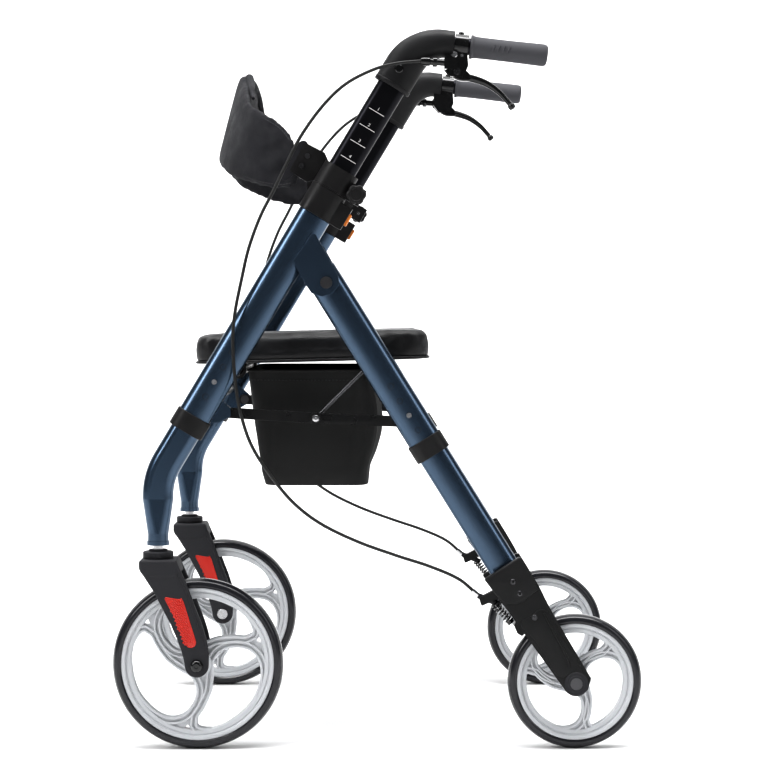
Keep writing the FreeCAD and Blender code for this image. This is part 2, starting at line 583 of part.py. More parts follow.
# Handles: post, elbow cover, grip, brake perch and lever.
def build_handles():
    """Builds everything that slides with a handle post."""
    tilt = math.radians(GRIP_TILT)
    forward = Vector(math.cos(tilt), 0, -math.sin(tilt))
    grip_frame = Rotation(Vector(0, 1, 0), 90 + GRIP_TILT)

    def on_grip(x):
        """The point of the grip's axis at a given x."""
        return ELBOW + forward * ((x - ELBOW.x) / math.cos(tilt))

    post = oval_body("post_bar", "#post_long", "#post_short", "#post_high - #post_low",
                     along(MAIN, size("post_low")))
    inner = size("post_short") / 2
    bend = shaped("post_bend", round_tube([along(MAIN, 500).Base, ELBOW, on_grip(180)], inner, 0.48))
    bar = cylinder("handle_bar", "#bar_radius", "146", Placement(on_grip(101), grip_frame))
    handle = fuse("handle_solid", post, bend, bar)
    both("handle_post", handle)

    path, _ = smooth_path([along(MAIN, 508).Base, ELBOW, on_grip(112)], 0.95)
    wide = oval_wire(56, 36, along(MAIN, 508))
    narrow = oval_wire(40.2, 40, Placement(on_grip(112), grip_frame))
    cover = shaped("cover_shell", path.makePipeShell([wide, narrow], True, False))
    both("elbow_cover", cut("cover_cut", cover, handle))

    grip = cylinder("grip_sleeve", "#grip_radius", "#grip_length", Placement(on_grip(137), grip_frame))
    both("grip", cut("grip_cut", grip, handle))

    ring = cylinder("perch_ring", "#bar_radius + 4.5", "20", Placement(on_grip(114), grip_frame))
    block = plate_body("perch_block", [(100, 1034), (132, 1036), (134, 1012), (127, 996), (108, 996), (99, 1008)],
                       "26", -SIDE - 13, 3)
    slot = box("lever_slot", 60, 12.6, 40, Placement(Vector(94, -SIDE - 6.3, 976), Rotation()))
    barrel = cylinder("cable_barrel", 5, 50, Placement(Vector(116, -SIDE - 22, 1014), Rotation(Vector(0, 1, 0), -86)))
    lug = plate_body("barrel_lug", [(98, 1022), (116, 1022), (118, 1004), (98, 1006)], "16", -SIDE - 27, 2)
    lever_pin = pin("lever_pin", LEVER_PIVOT, -SIDE + 14, "3", "28")
    both("brake_perch", fuse("perch_solid", cut("perch_cut", fuse("perch_shell", ring, block), slot, handle, cover),
                             lug, barrel, lever_pin))
    lever = [(110, 1011), (126, 1009), (137, 1000.5), (151, 996.5), (166, 991), (184, 978), (201, 958), (203, 951),
             (195, 948), (177, 970), (160, 982), (147, 987), (133, 990), (114, 994), (107, 1001)]
    lever_bore = pin("lever_bore", LEVER_PIVOT, -SIDE + 20, "3 + #running_gap", "40")
    both("brake_lever", cut("lever_cut", plate_body("lever_blade", lever, "#lever_thick",
                            -SIDE - size("lever_thick") / 2, 2), lever_bore))


def bar_plate(name, start, end, thickness, inner_y):
    """A flat link with rounded ends between two pivots."""
    along_link = (end - start).normalize()
    side = Vector(-along_link.z, 0, along_link.x)
    half = size("link_width") / 2
    first = start - along_link * 9
    last = end + along_link * 9
    corners = [first - side * half, last - side * half, last + side * half, first + side * half]
    return plate_body(name, [(c.x, c.z) for c in corners], thickness, inner_y, 6)


# Braces: the folding side links and the rods that lift the seat.
def build_braces():
    """Builds the links; the middle pivot joins only the front link to its lift rod."""
    front = bar_plate("front_link", BRACE_FRONT, BRACE_MIDDLE, "#link_thick", -SIDE + 25)
    front_bore = pin("front_link_bore", BRACE_FRONT, -SIDE + 40, "#pin_radius + #running_gap", "30")
    middle_pin = pin("middle_pin", BRACE_MIDDLE, -SIDE + 40, "#pin_radius", "13")
    middle_head = pin("middle_pin_head", BRACE_MIDDLE, -SIDE + 41.6, "6.5", "2.2")
    pair("front_brace_links", fuse("front_link_solid", cut("front_link_cut", front, front_bore),
                                   middle_pin, middle_head))
    rear = bar_plate("rear_link", BRACE_REAR, BRACE_MIDDLE, "#link_thick", -SIDE + 20)
    rear_bore = pin("rear_link_bore", BRACE_REAR, -SIDE + 40, "#pin_radius + #running_gap", "30")
    bolt_head = pin("middle_bolt_head", BRACE_MIDDLE, -SIDE + 20, "9", "2.6")
    pair("rear_brace_links", fuse("rear_link_solid", cut("rear_link_cut", rear, rear_bore), bolt_head))

    rod_y = -SIDE + 35
    low = Vector(BRACE_MIDDLE.x, rod_y, BRACE_MIDDLE.z)
    top = Vector(ROD_TOP.x, rod_y, ROD_TOP.z)
    reach = (top - low).normalize()
    rod = cylinder("lift_rod", "#rod_radius", (top - low).Length - 13,
                   Placement(low + reach * 6, Rotation(Vector(0, 0, 1), reach)))
    eyes = [pin("rod_eye_low", low, rod_y + 3.5, "8", "7"), pin("rod_eye_top", top, rod_y + 3.5, "8", "7")]
    holes = [pin("rod_hole_low", low, rod_y + 10, "#pin_radius + #running_gap", "20"),
             pin("rod_hole_top", top, rod_y + 10, "6.5", "20")]
    pair("seat_lift_rods", cut("rod_cut", fuse("rod_solid", rod, *eyes), *holes))


# Seat, bag and backrest: simple closed solids for the soft parts.
def build_soft_parts():
    """Builds the seat pad on its board, the open bag and the padded back strap."""
    half = size("seat_half")
    tilt = Rotation(Vector(0, 1, 0), -1.41)
    corner = Placement(Vector(-275.2, -half, 581.3), tilt)
    pad = box("pad_block", "#seat_length", "2 * #seat_half", "#pad_thick", corner)
    doc.recompute()
    round_pad = doc.addObject("Part::Fillet", "pad_round")
    round_pad.Base = pad
    round_pad.Edges = [(n, 12, 12) for n in range(1, 13)]
    keep("seat_pad", round_pad)
    board = box("board_plate", "#seat_length - 24", "2 * #seat_half - 24", "#board_thick",
                corner.multiply(Placement(Vector(12, 12, -10.2), Rotation())))
    parts = []
    for side in (-1, 1):
        lug_y = side * 160 + 8
        ear = fuse(f"hinge_lug_{side}", pin(f"hinge_eye_{side}", SEAT_HINGE, lug_y, "13", "16"),
                   box(f"hinge_block_{side}", 26, 16, 16, Placement(Vector(-228, lug_y - 16, 561), Rotation())))
        parts.append(ear)
        inner_y = side * 222 - 14
        parts.append(box(f"rod_block_{side}", 16, 28, 20, Placement(Vector(-20.5, inner_y, 562), Rotation())))
        parts.append(pin(f"rod_stub_{side}", ROD_TOP, side * 238 + 12, "3", "24"))
    bore = pin("seat_bore", SEAT_HINGE, 200, "#hinge_tube_radius + #running_gap", "400")
    keep("seat_board", cut("board_cut", fuse("board_solid", board, *parts), bore))

    wall = size("bag_wall")
    bag_half = size("bag_half")
    outer = [(-198, 561.5), (-9, 561.5), (-12, 394), (-20, 386), (-168, 386), (-178, 394)]
    inner = [(-195, 570), (-12, 570), (-15, 396), (-22, 389), (-166, 389), (-175, 396)]
    hull = plate_body("bag_outer", outer, "2 * #bag_half", -bag_half)
    room = plate_body("bag_inner", inner, "2 * (#bag_half - #bag_wall)", -bag_half + wall)
    keep("bag", cut("bag_cut", hull, room))

    sections = []
    for y, low, high, thick in ((-261, (-128, 866), (-113, 898), 9), (-205, (-232, 888), (-196, 1010), 15),
                                (-150, (-246, 883), (-206, 1024), 16), (150, (-246, 883), (-206, 1024), 16),
                                (205, (-232, 888), (-196, 1010), 15), (261, (-128, 866), (-113, 898), 9)):
        corners = [Vector(low[0], y, low[1]), Vector(high[0], y, high[1]), Vector(high[0] + thick, y, high[1] - 3),
                   Vector(low[0] + thick, y, low[1] - 3)]
        sections.append(Part.makePolygon(corners + corners[:1]))
    keep("backrest_pad", shaped("back_strap", Part.makeLoft(sections, True, True)))


# Brake cables: each is held from its barrel on the handle to the stop on the rear fork.
def build_cables():
    """Builds both cables along the same route, mirrored."""
    route = [(64, -302, 1017.6), (30, -304, 1014), (-5, -305, 1005), (-46, -304.5, 984), (-80, -304, 952),
             (-112, -303.5, 908), (-134, -303, 866), (-153, -303, 827), (-172, -303, 790), (-189, -303, 744),
             (-200, -303, 697), (-210, -303, 647), (-213, -303, 606), (-211, -303, 563), (-207, -302.5, 527),
             (-200, -302, 493), (-187, -301, 455), (-165, -300, 418), (-128, -297, 371), (-86, -293, 337),
             (-30, -289, 309), (30, -285, 287), (78, -282, 271), (121, -280.5, 252), (149, -280, 228.5)]
    cable = shaped("cable_tube", round_tube([Vector(*spot) for spot in route], size("cable_radius")))
    pair("brake_cables", cable)


build_front_frame()
build_rear_frame()
build_front_legs()
build_wheel("front", FRONT_AXLE, "front_radius", "front_width")
build_rear_legs()
build_wheel("rear", REAR_AXLE, "rear_radius", "rear_width")
build_handles()
build_braces()
build_soft_parts()
build_cables()
doc.recompute()

for item in doc.Objects:
    if "Invalid" in item.State or "Error" in item.State:
        raise RuntimeError(f"{item.Name} failed: {item.State}")
for label, piece in nodes.items():
    if piece.Shape.isNull() or not piece.Shape.isValid() or not piece.Shape.Solids:
        raise RuntimeError(f"{label} has no valid solid")

os.makedirs("parts", exist_ok=True)
for label, piece in nodes.items():
    piece.Shape.exportStep(f"parts/{label}.step")
    print(label, len(piece.Shape.Solids), round(piece.Shape.Volume))
print(len(nodes), "nodes")
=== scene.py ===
"""Folding four-wheeled walking frame: finished meshes and finishes round the fixed frame."""
import logging
import math
from dataclasses import dataclass
from enum import Enum
from typing import Callable, Sequence

import bmesh
import bpy
from mathutils import Matrix, Vector, geometry


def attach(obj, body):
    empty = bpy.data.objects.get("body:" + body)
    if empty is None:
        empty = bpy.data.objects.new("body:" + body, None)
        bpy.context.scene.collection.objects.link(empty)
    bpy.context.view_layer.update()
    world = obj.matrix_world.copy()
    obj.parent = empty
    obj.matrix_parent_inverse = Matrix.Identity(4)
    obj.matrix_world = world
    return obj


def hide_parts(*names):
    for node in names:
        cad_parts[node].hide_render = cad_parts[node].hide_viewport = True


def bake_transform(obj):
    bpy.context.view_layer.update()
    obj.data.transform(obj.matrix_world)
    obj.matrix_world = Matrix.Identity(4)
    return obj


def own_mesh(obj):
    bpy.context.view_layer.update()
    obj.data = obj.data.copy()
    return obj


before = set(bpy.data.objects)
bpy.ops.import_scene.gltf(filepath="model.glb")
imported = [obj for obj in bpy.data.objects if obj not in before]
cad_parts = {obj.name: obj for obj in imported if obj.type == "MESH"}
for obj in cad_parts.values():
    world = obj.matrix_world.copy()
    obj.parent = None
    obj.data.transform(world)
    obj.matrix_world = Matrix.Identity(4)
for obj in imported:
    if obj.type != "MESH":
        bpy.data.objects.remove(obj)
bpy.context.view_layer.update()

LOG = logging.getLogger("walker")
MM = 0.001
MERGE = 1e-6
TRACK = 280.0
MAIN_LEAN = 31.0
REAR_LEAN = 31.94
GRIP_DROP = 6.5
HOLE_PITCH = 25.4
ACROSS = Vector((0, 1, 0))
Spot = tuple[float, float, float]
Flat = tuple[float, float]
Color = tuple[float, float, float]
MAIN_FOOT: Flat = (-241, 546)
REAR_HEAD: Flat = (-75.5, 692.7)
FRONT_AXLE: Flat = (-267, 127)
REAR_AXLE: Flat = (294, 100)


class Side(Enum):
    """The two sides of the walker, with the sign of their Y."""

    LEFT = -1
    RIGHT = 1

    @property
    def word(self) -> str:
        """The side's name in node and body names."""
        return self.name.lower()


class Grain(Enum):
    """The kinds of surface that a finish can have."""

    MOULDED = "moulded"
    METALLIC = "metallic"
    BRUSHED = "brushed"
    LEATHER = "leather"
    WEAVE = "weave"
    VINYL = "vinyl"
    RUBBER = "rubber"
    PRISM = "prism"


class Graph:
    """A small helper that adds and joins a material's nodes."""

    def __init__(self, material: bpy.types.Material) -> None:
        """Empties the material's tree and adds its shader and output."""
        material.use_nodes = True
        self.tree = material.node_tree
        self.tree.nodes.clear()
        self.shader = self.add("ShaderNodeBsdfPrincipled")
        out = self.add("ShaderNodeOutputMaterial")
        self.join(self.shader, "BSDF", out, "Surface")
        self.place = self.add("ShaderNodeTexCoord")

    def add(self, kind: str, **values: object) -> bpy.types.Node:
        """Adds a node and sets its properties or input values.

        Args:
            kind: the node's type name.
            values: properties of the node, or inputs with spaces written as underscores.

        Returns:
            The new node.
        """
        node = self.tree.nodes.new(kind)
        for name, value in values.items():
            if hasattr(node, name):
                setattr(node, name, value)
            else:
                node.inputs[name.replace("_", " ")].default_value = value
        return node

    def join(self, start: bpy.types.Node, out: str, end: bpy.types.Node, socket: str | int) -> None:
        """Links one node's output to another's input."""
        self.tree.links.new(start.outputs[out], end.inputs[socket])

    def stretched(self, scale: Spot, turn: Spot = (0, 0, 0)) -> bpy.types.Node:
        """Object coordinates scaled and turned by a Mapping node."""
        mapping = self.add("ShaderNodeMapping")
        mapping.inputs["Scale"].default_value = scale
        mapping.inputs["Rotation"].default_value = turn
        self.join(self.place, "Object", mapping, "Vector")
        return mapping

    def noise(self, scale: float, detail: float = 3, source: bpy.types.Node | None = None) -> bpy.types.Node:
        """A noise texture on object coordinates or on a Mapping node's."""
        node = self.add("ShaderNodeTexNoise", Scale=scale, Detail=detail)
        origin = source or self.place
        self.join(origin, "Vector" if source else "Object", node, "Vector")
        return node

    def ramp(self, source: bpy.types.Node, out: str, low: float, high: float,
             span: Flat = (0.0, 1.0)) -> bpy.types.Node:
        """Maps a texture's values from span to low..high."""
        node = self.add("ShaderNodeMapRange")
        for socket, value in zip(("From Min", "From Max", "To Min", "To Max"), (*span, low, high)):
            node.inputs[socket].default_value = value
        self.join(source, out, node, "Value")
        return node


@dataclass(frozen=True)
class Finish:
    """One surface finish and the material made from it."""

    name: str
    color: Color
    grain: Grain
    roughness: float
    metallic: float = 0.0
    coat: float = 0.0
    sheen: float = 0.0
    scale: float = 500.0
    bump: float = 0.15
    variation: float = 0.15
    specular: float = 0.5

    def build(self) -> bpy.types.Material:
        """Returns the finish's material, made once."""
        made = bpy.data.materials.get(self.name)
        if made:
            return made
        material = bpy.data.materials.new(self.name)
        graph = Graph(material)
        shader = graph.shader
        shader.inputs["Metallic"].default_value = self.metallic
        shader.inputs["Coat Weight"].default_value = self.coat
        shader.inputs["Coat Roughness"].default_value = 0.08
        shader.inputs["Sheen Weight"].default_value = self.sheen
        shader.inputs["Specular IOR Level"].default_value = self.specular
        self.paint(graph)
        self.gloss(graph)
        height, out = self.relief(graph)
        bump = graph.add("ShaderNodeBump", Strength=self.bump, Distance=0.0006)
        graph.join(height, out, bump, "Height")
        graph.join(bump, "Normal", shader, "Normal")
        return material

    def paint(self, graph: Graph) -> None:
        """Varies the colour softly over the surface."""
        cloud = graph.noise(9 if self.grain is not Grain.METALLIC else 2600, 4)
        shade = graph.ramp(cloud, "Fac", 0, 1, (0.3, 0.7))
        mix = graph.add("ShaderNodeMix", data_type="RGBA")
        dark = tuple(c * (1 - self.variation) for c in self.color)
        light = tuple(min(1, c * (1 + self.variation) + 0.004) for c in self.color)
        for socket in (s for s in mix.inputs if s.type == "RGBA" and s.name == "A"):
            socket.default_value = (*dark, 1)
        for socket in (s for s in mix.inputs if s.type == "RGBA" and s.name == "B"):
            socket.default_value = (*light, 1)
        graph.join(shade, "Result", mix, 0)
        out = next(s for s in mix.outputs if s.type == "RGBA")
        graph.tree.links.new(out, graph.shader.inputs["Base Color"])

    def gloss(self, graph: Graph) -> None:
        """Varies the roughness with smudges."""
        smudge = graph.noise(35, 5)
        swing = 0.05 if self.grain is Grain.METALLIC else 0.2
        spread = graph.ramp(smudge, "Fac", self.roughness * (1 - swing), min(1, self.roughness * (1 + swing)),
                            (0.35, 0.65))
        graph.join(spread, "Result", graph.shader, "Roughness")

    def relief(self, graph: Graph) -> tuple[bpy.types.Node, str]:
        """Returns the node and output that hold the fine relief of the grain."""
        if self.grain in (Grain.LEATHER, Grain.VINYL):
            cells = graph.add("ShaderNodeTexVoronoi", feature="SMOOTH_F1", Scale=self.scale)
            warp = graph.noise(self.scale * 0.5, 2)
            mix = graph.add("ShaderNodeVectorMath", operation="MULTIPLY_ADD")
            mix.inputs[1].default_value = (0.002, 0.002, 0.002)
            graph.tree.links.new(warp.outputs["Color"], mix.inputs[0])
            graph.tree.links.new(graph.place.outputs["Object"], mix.inputs[2])
            graph.join(mix, "Vector", cells, "Vector")
            return cells, "Distance"
        if self.grain is Grain.WEAVE:
            return self.weave(graph), "Value"
        if self.grain is Grain.BRUSHED:
            return graph.noise(self.scale, 3, graph.stretched((1, 12, 12))), "Fac"
        if self.grain is Grain.PRISM:
            cells = graph.add("ShaderNodeTexVoronoi", Scale=self.scale)
            graph.join(graph.place, "Object", cells, "Vector")
            return cells, "Distance"
        return graph.noise(self.scale, 4), "Fac"

    def weave(self, graph: Graph) -> bpy.types.Node:
        """Two crossed sets of threads, as in plain cloth."""
        bands = []
        for direction in ("X", "Z"):
            wave = graph.add("ShaderNodeTexWave", bands_direction=direction, Scale=self.scale, Distortion=0.6)
            source = graph.stretched((1, 1, 1), (0, 0, math.radians(90)))
            graph.join(source, "Vector", wave, "Vector")
            bands.append(wave)
        product = graph.add("ShaderNodeMath", operation="MULTIPLY")
        graph.join(bands[0], "Fac", product, 0)
        graph.join(bands[1], "Fac", product, 1)
        return product


class Finishes:
    """Every finish of the walker."""

    FRAME = Finish("blue_grey_paint", (0.060, 0.098, 0.150), Grain.METALLIC, 0.25, 0.85, 0.4, bump=0.01,
                   variation=0.12, scale=1500)
    COLLAR = Finish("collar_plastic", (0.012, 0.0115, 0.012), Grain.MOULDED, 0.42, scale=1800, specular=0.3)
    COVER = Finish("cover_plastic", (0.013, 0.013, 0.014), Grain.MOULDED, 0.48, scale=2200, bump=0.25, specular=0.3)
    POST = Finish("post_gloss", (0.003, 0.003, 0.004), Grain.MOULDED, 0.16, coat=0.6, scale=60, bump=0.02)
    GRIP = Finish("grip_rubber", (0.017, 0.016, 0.017), Grain.RUBBER, 0.55, scale=2600, bump=0.3, specular=0.3)
    LEVER = Finish("lever_paint", (0.005, 0.005, 0.0055), Grain.MOULDED, 0.2, 0.3, 0.6, scale=90, bump=0.03)
    ORANGE = Finish("orange_plastic", (0.80, 0.16, 0.02), Grain.MOULDED, 0.35, scale=1500)
    STEEL = Finish("bright_steel", (0.62, 0.62, 0.63), Grain.BRUSHED, 0.22, 1.0, scale=300, bump=0.05)
    DARK_STEEL = Finish("dark_steel", (0.10, 0.10, 0.105), Grain.BRUSHED, 0.3, 0.9, scale=300, bump=0.08)
    FORK = Finish("fork_black", (0.005, 0.005, 0.0055), Grain.MOULDED, 0.33, scale=1400, bump=0.12, specular=0.35)
    REAR_FORK = Finish("casting_black", (0.007, 0.007, 0.0075), Grain.MOULDED, 0.48, scale=1300, bump=0.5,
                       specular=0.35)
    RED = Finish("reflector_red", (0.30, 0.002, 0.002), Grain.PRISM, 0.15, coat=0.3, scale=350, bump=0.6)
    TYRE = Finish("tyre_black", (0.004, 0.004, 0.0045), Grain.RUBBER, 0.16, scale=700, bump=0.05, specular=0.5)
    RIM = Finish("rim_silver", (0.33, 0.33, 0.34), Grain.MOULDED, 0.25, 0.95, 0.15, scale=160, bump=0.03)
    SEAT = Finish("seat_leatherette", (0.006, 0.006, 0.007), Grain.LEATHER, 0.42, sheen=0.02, scale=520, bump=0.5,
                  specular=0.4)
    BAG = Finish("bag_vinyl", (0.004, 0.004, 0.005), Grain.VINYL, 0.22, coat=0.25, scale=260, bump=0.25)
    STRAP = Finish("strap_cloth", (0.017, 0.017, 0.021), Grain.WEAVE, 0.75, sheen=0.06, scale=480, bump=0.6,
                   specular=0.25)
    THREAD = Finish("stitch_thread", (0.045, 0.045, 0.05), Grain.RUBBER, 0.7, scale=3000, bump=0.4)
    BRACE = Finish("brace_black", (0.006, 0.006, 0.0065), Grain.MOULDED, 0.3, scale=800, bump=0.05, specular=0.4)
    CABLE = Finish("cable_jacket", (0.006, 0.006, 0.006), Grain.RUBBER, 0.4, scale=900, bump=0.1)
    MARK = Finish("white_marks", (0.85, 0.85, 0.85), Grain.MOULDED, 0.4, scale=900, bump=0.02, variation=0.04)
    BOARD = Finish("board_plastic", (0.008, 0.008, 0.008), Grain.MOULDED, 0.5, scale=900)


def around(steps: int) -> list[float]:
    """Evenly spaced angles of one full turn, in radians."""
    return [2 * math.pi * step / steps for step in range(steps)]


def arc(centre: Flat, radius: float, degrees: Sequence[int]) -> list[Flat]:
    """The points of a round end about a centre, at angles in degrees."""
    return [(centre[0] + radius * math.cos(math.radians(a)), centre[1] + radius * math.sin(math.radians(a)))
            for a in degrees]


def signed_power(value: float, power: float) -> float:
    """A value's size raised to a power, with the value's own sign."""
    return math.copysign(abs(value) ** power, value)


def upward(angle: float) -> Vector:
    """The direction that leans back from upright by an angle in radians."""
    return Vector((math.sin(angle), 0, math.cos(angle)))


def rearward(angle: float) -> Vector:
    """The direction square to upward in the walker's side plane."""
    return Vector((math.cos(angle), 0, -math.sin(angle)))


def smooth_step(a: Vector | float, b: Vector | float, c: Vector | float, d: Vector | float,
                t: float) -> Vector | float:
    """A share t of the smooth way from b to c, with a before them and d after them."""
    return 0.5 * (2 * b + (c - a) * t + (2 * a - 5 * b + 4 * c - d) * t ** 2
                  + (3 * b - a - 3 * c + d) * t ** 3)


def shown(name: str, data: bpy.types.ID) -> bpy.types.Object:
    """A new object in the scene that holds this mesh, curve or text."""
    piece = bpy.data.objects.new(name, data)
    bpy.context.scene.collection.objects.link(piece)
    return piece


def plain_mesh(name: str, data: bpy.types.ID) -> bpy.types.Mesh:
    """The mesh that a curve or a text makes."""
    holder = shown(name, data)
    mesh = bpy.data.meshes.new_from_object(holder.evaluated_get(bpy.context.evaluated_depsgraph_get()))
    bpy.data.objects.remove(holder)
    return mesh


def finish_piece(name: str, mesh: bpy.types.Mesh, finish: Finish, smooth_angle: float = 35) -> bpy.types.Object:
    """Makes an object from a mesh, with its finish and smooth shading.

    Args:
        name: the piece's name.
        mesh: the mesh, already in place and in metres.
        finish: the surface finish.
        smooth_angle: edges sharper than this, in degrees, stay sharp.

    Returns:
        The new object, at the origin.
    """
    mesh.name = name
    mesh.materials.clear()
    mesh.materials.append(finish.build())
    for face in mesh.polygons:
        face.material_index = 0
    mesh.shade_smooth()
    mesh.set_sharp_from_angle(angle=math.radians(smooth_angle))
    return shown(name, mesh)


def mesh_of(work: bmesh.types.BMesh) -> bpy.types.Mesh:
    """Turns working geometry into a mesh with merged points and outward faces."""
    bmesh.ops.remove_doubles(work, verts=work.verts, dist=MERGE)
    bmesh.ops.recalc_face_normals(work, faces=work.faces)
    mesh = bpy.data.meshes.new("shape")
    work.to_mesh(mesh)
    work.free()
    return mesh


def cleaned(mesh: bpy.types.Mesh) -> bpy.types.Mesh:
    """The same shape with merged points and outward faces."""
    work = bmesh.new()
    work.from_mesh(mesh)
    return mesh_of(work)


def baked(piece: bpy.types.Object) -> bpy.types.Object:
    """Applies the piece's modifiers to its mesh and removes them."""
    graph = bpy.context.evaluated_depsgraph_get()
    mesh = bpy.data.meshes.new_from_object(piece.evaluated_get(graph))
    piece.modifiers.clear()
    piece.data = mesh
    return piece


def rounded(piece: bpy.types.Object, width: float, segments: int = 3, angle: float = 32) -> bpy.types.Object:
    """Rounds a piece's sharp edges.

    Args:
        piece: the piece.
        width: the rounding's width in millimetres.
        segments: the number of faces across the rounding.
        angle: edges sharper than this, in degrees, are rounded.

    Returns:
        The same piece.
    """
    bevel = piece.modifiers.new("round", "BEVEL")
    bevel.width = width * MM
    bevel.segments = segments
    bevel.limit_method = "ANGLE"
    bevel.angle_limit = math.radians(angle)
    bevel.harden_normals = True
    return baked(piece)


def loft(name: str, rings: Sequence[Sequence[Vector]], finish: Finish, caps: bool = True,
         closed: bool = False) -> bpy.types.Object:
    """Skins a row of rings that have equal numbers of points.

    Args:
        name: the piece's name.
        rings: the rings, in metres.
        finish: the surface finish.
        caps: whether the ends are closed.
        closed: whether the last ring joins the first.

    Returns:
        The new piece.
    """
    work = bmesh.new()
    rows = [[work.verts.new(p) for p in ring] for ring in rings]
    count = len(rows[0])
    pairs = list(zip(rows, rows[1:])) + ([(rows[-1], rows[0])] if closed else [])
    for first, second in pairs:
        for number in range(count):
            after = (number + 1) % count
            work.faces.new((first[number], first[after], second[after], second[number]))
    if caps and not closed:
        work.faces.new(rows[0])
        work.faces.new(rows[-1])
    return finish_piece(name, mesh_of(work), finish)


def turned(name: str, profile: Sequence[Flat], centre: Spot, axis: Vector, finish: Finish,
           steps: int = 72, closed: bool = False) -> bpy.types.Object:
    """Turns a profile of (radius, place along the axis) round an axis.

    Args:
        name: the piece's name.
        profile: the profile's points in millimetres.
        centre: the axis's point at zero, in millimetres.
        axis: the axis's direction.
        finish: the surface finish.
        steps: the number of faces round.
        closed: whether the profile's last point joins its first.

    Returns:
        The new piece.
    """
    turn = Vector((0, 0, 1)).rotation_difference(axis).to_matrix()
    middle = Vector(centre)
    work = bmesh.new()
    rows = []
    for angle in around(steps):
        spots = [turn @ Vector((r * math.cos(angle), r * math.sin(angle), z)) + middle for r, z in profile]
        rows.append([work.verts.new(spot * MM) for spot in spots])
    count = len(profile)
    for step in range(steps):
        first, second = rows[step], rows[(step + 1) % steps]
        for number in range(count if closed else count - 1):
            after = (number + 1) % count
            work.faces.new((first[number], first[after], second[after], second[number]))
    bmesh.ops.remove_doubles(work, verts=work.verts, dist=MERGE)
    bmesh.ops.dissolve_degenerate(work, dist=1e-7, edges=work.edges)
    return finish_piece(name, mesh_of(work), finish)


def outline_plate(name: str, loops: Sequence[Sequence[Flat]], low_y: float, high_y: float, bevel: float,
                  finish: Finish, smooth: bool = True, turn: float = 0.0, centre: Flat = (0, 0)) -> bpy.types.Object:
    """A plate in the XZ plane with rounded edges, from closed outlines; inner ones are openings.

    Args:
        name: the piece's name.
        loops: outlines of (x, z) in millimetres.
        low_y: the face nearer the left-hand side, in millimetres.
        high_y: the other face.
        bevel: the edge rounding in millimetres.
        finish: the surface finish.
        smooth: whether the outlines run in smooth curves through their points.
        turn: an added turn about the centre, in degrees.
        centre: the centre that outlines are given from.

    Returns:
        The new piece.
    """
    curve = bpy.data.curves.new(name, "CURVE")
    curve.dimensions = "2D"
    curve.fill_mode = "BOTH"
    curve.extrude = ((high_y - low_y) / 2 - bevel) * MM
    curve.bevel_depth = bevel * MM
    curve.bevel_resolution = 3
    curve.offset = -bevel * MM
    for loop in loops:
        spline = curve.splines.new("BEZIER")
        spline.bezier_points.add(len(loop) - 1)
        spline.use_cyclic_u = True
        spline.resolution_u = 8 if smooth else 1
        for point, (x, z) in zip(spline.bezier_points, loop):
            point.co = (x * MM, z * MM, 0)
            point.handle_left_type = point.handle_right_type = "AUTO" if smooth else "VECTOR"
    mesh = plain_mesh(name, curve)
    stand = Matrix.Rotation(math.radians(90), 4, "X")
    spin = Matrix.Rotation(math.radians(turn), 4, "Y")
    middle = Vector((centre[0], (low_y + high_y) / 2, centre[1])) * MM
    mesh.transform(Matrix.Translation(middle) @ spin @ stand)
    return finish_piece(name, cleaned(mesh), finish)


def rod(name: str, points: Sequence[Spot], radius: float, finish: Finish, radii: Sequence[float] | None = None,
        order: int = 3, sides: int = 4) -> bpy.types.Object:
    """A round bar along one smooth line through or near its points.

    Args:
        name: the piece's name.
        points: the line's points in millimetres.
        radius: the bar's radius in millimetres.
        finish: the surface finish.
        radii: factors of the radius at the points.
        order: the spline's order.
        sides: the bevel's resolution.

    Returns:
        The new piece.
    """
    curve = bpy.data.curves.new(name, "CURVE")
    curve.dimensions = "3D"
    curve.bevel_depth = radius * MM
    curve.bevel_resolution = sides
    curve.use_fill_caps = True
    spline = curve.splines.new("NURBS")
    spline.points.add(len(points) - 1)
    for number, (point, spot) in enumerate(zip(spline.points, points)):
        point.co = (*(Vector(spot) * MM), 1)
        point.radius = radii[number] if radii else 1
    spline.order_u = order
    spline.use_endpoint_u = True
    spline.resolution_u = 10
    return finish_piece(name, cleaned(plain_mesh(name, curve)), finish)


def joined(name: str, parts: Sequence[bpy.types.Object], finish: Finish | None = None) -> bpy.types.Object:
    """Joins pieces into one, which keeps each one's finish unless another is given."""
    work = bmesh.new()
    materials: list[bpy.types.Material] = []
    for part in parts:
        shade = part.data.materials[0]
        if shade not in materials:
            materials.append(shade)
        before = len(work.faces)
        work.from_mesh(part.data)
        work.faces.ensure_lookup_table()
        for face in work.faces[before:]:
            face.material_index = materials.index(shade)
    mesh = bpy.data.meshes.new(name)
    work.to_mesh(mesh)
    work.free()
    for part in parts:
        bpy.data.objects.remove(part)
    for shade in ([finish.build()] if finish else materials):
        mesh.materials.append(shade)
    return shown(name, mesh)


def other_side(piece: bpy.types.Object, name: str) -> bpy.types.Object:
    """A mirror image of a piece on the right-hand side."""
    mesh = piece.data.copy()
    mesh.transform(Matrix.Scale(-1, 4, (0, 1, 0)))
    mesh.flip_normals()
    return shown(name, mesh)


def fit(piece: bpy.types.Object, body: str, slot: str, *nodes: str) -> bpy.types.Object:
    """Lets a piece ride on a body, and hides the nodes that it stands for."""
    if nodes:
        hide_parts(*nodes)
    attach(piece, body)
    LOG.info("%s rides on %s, %d points", piece.name, body, len(piece.data.vertices))
    return piece


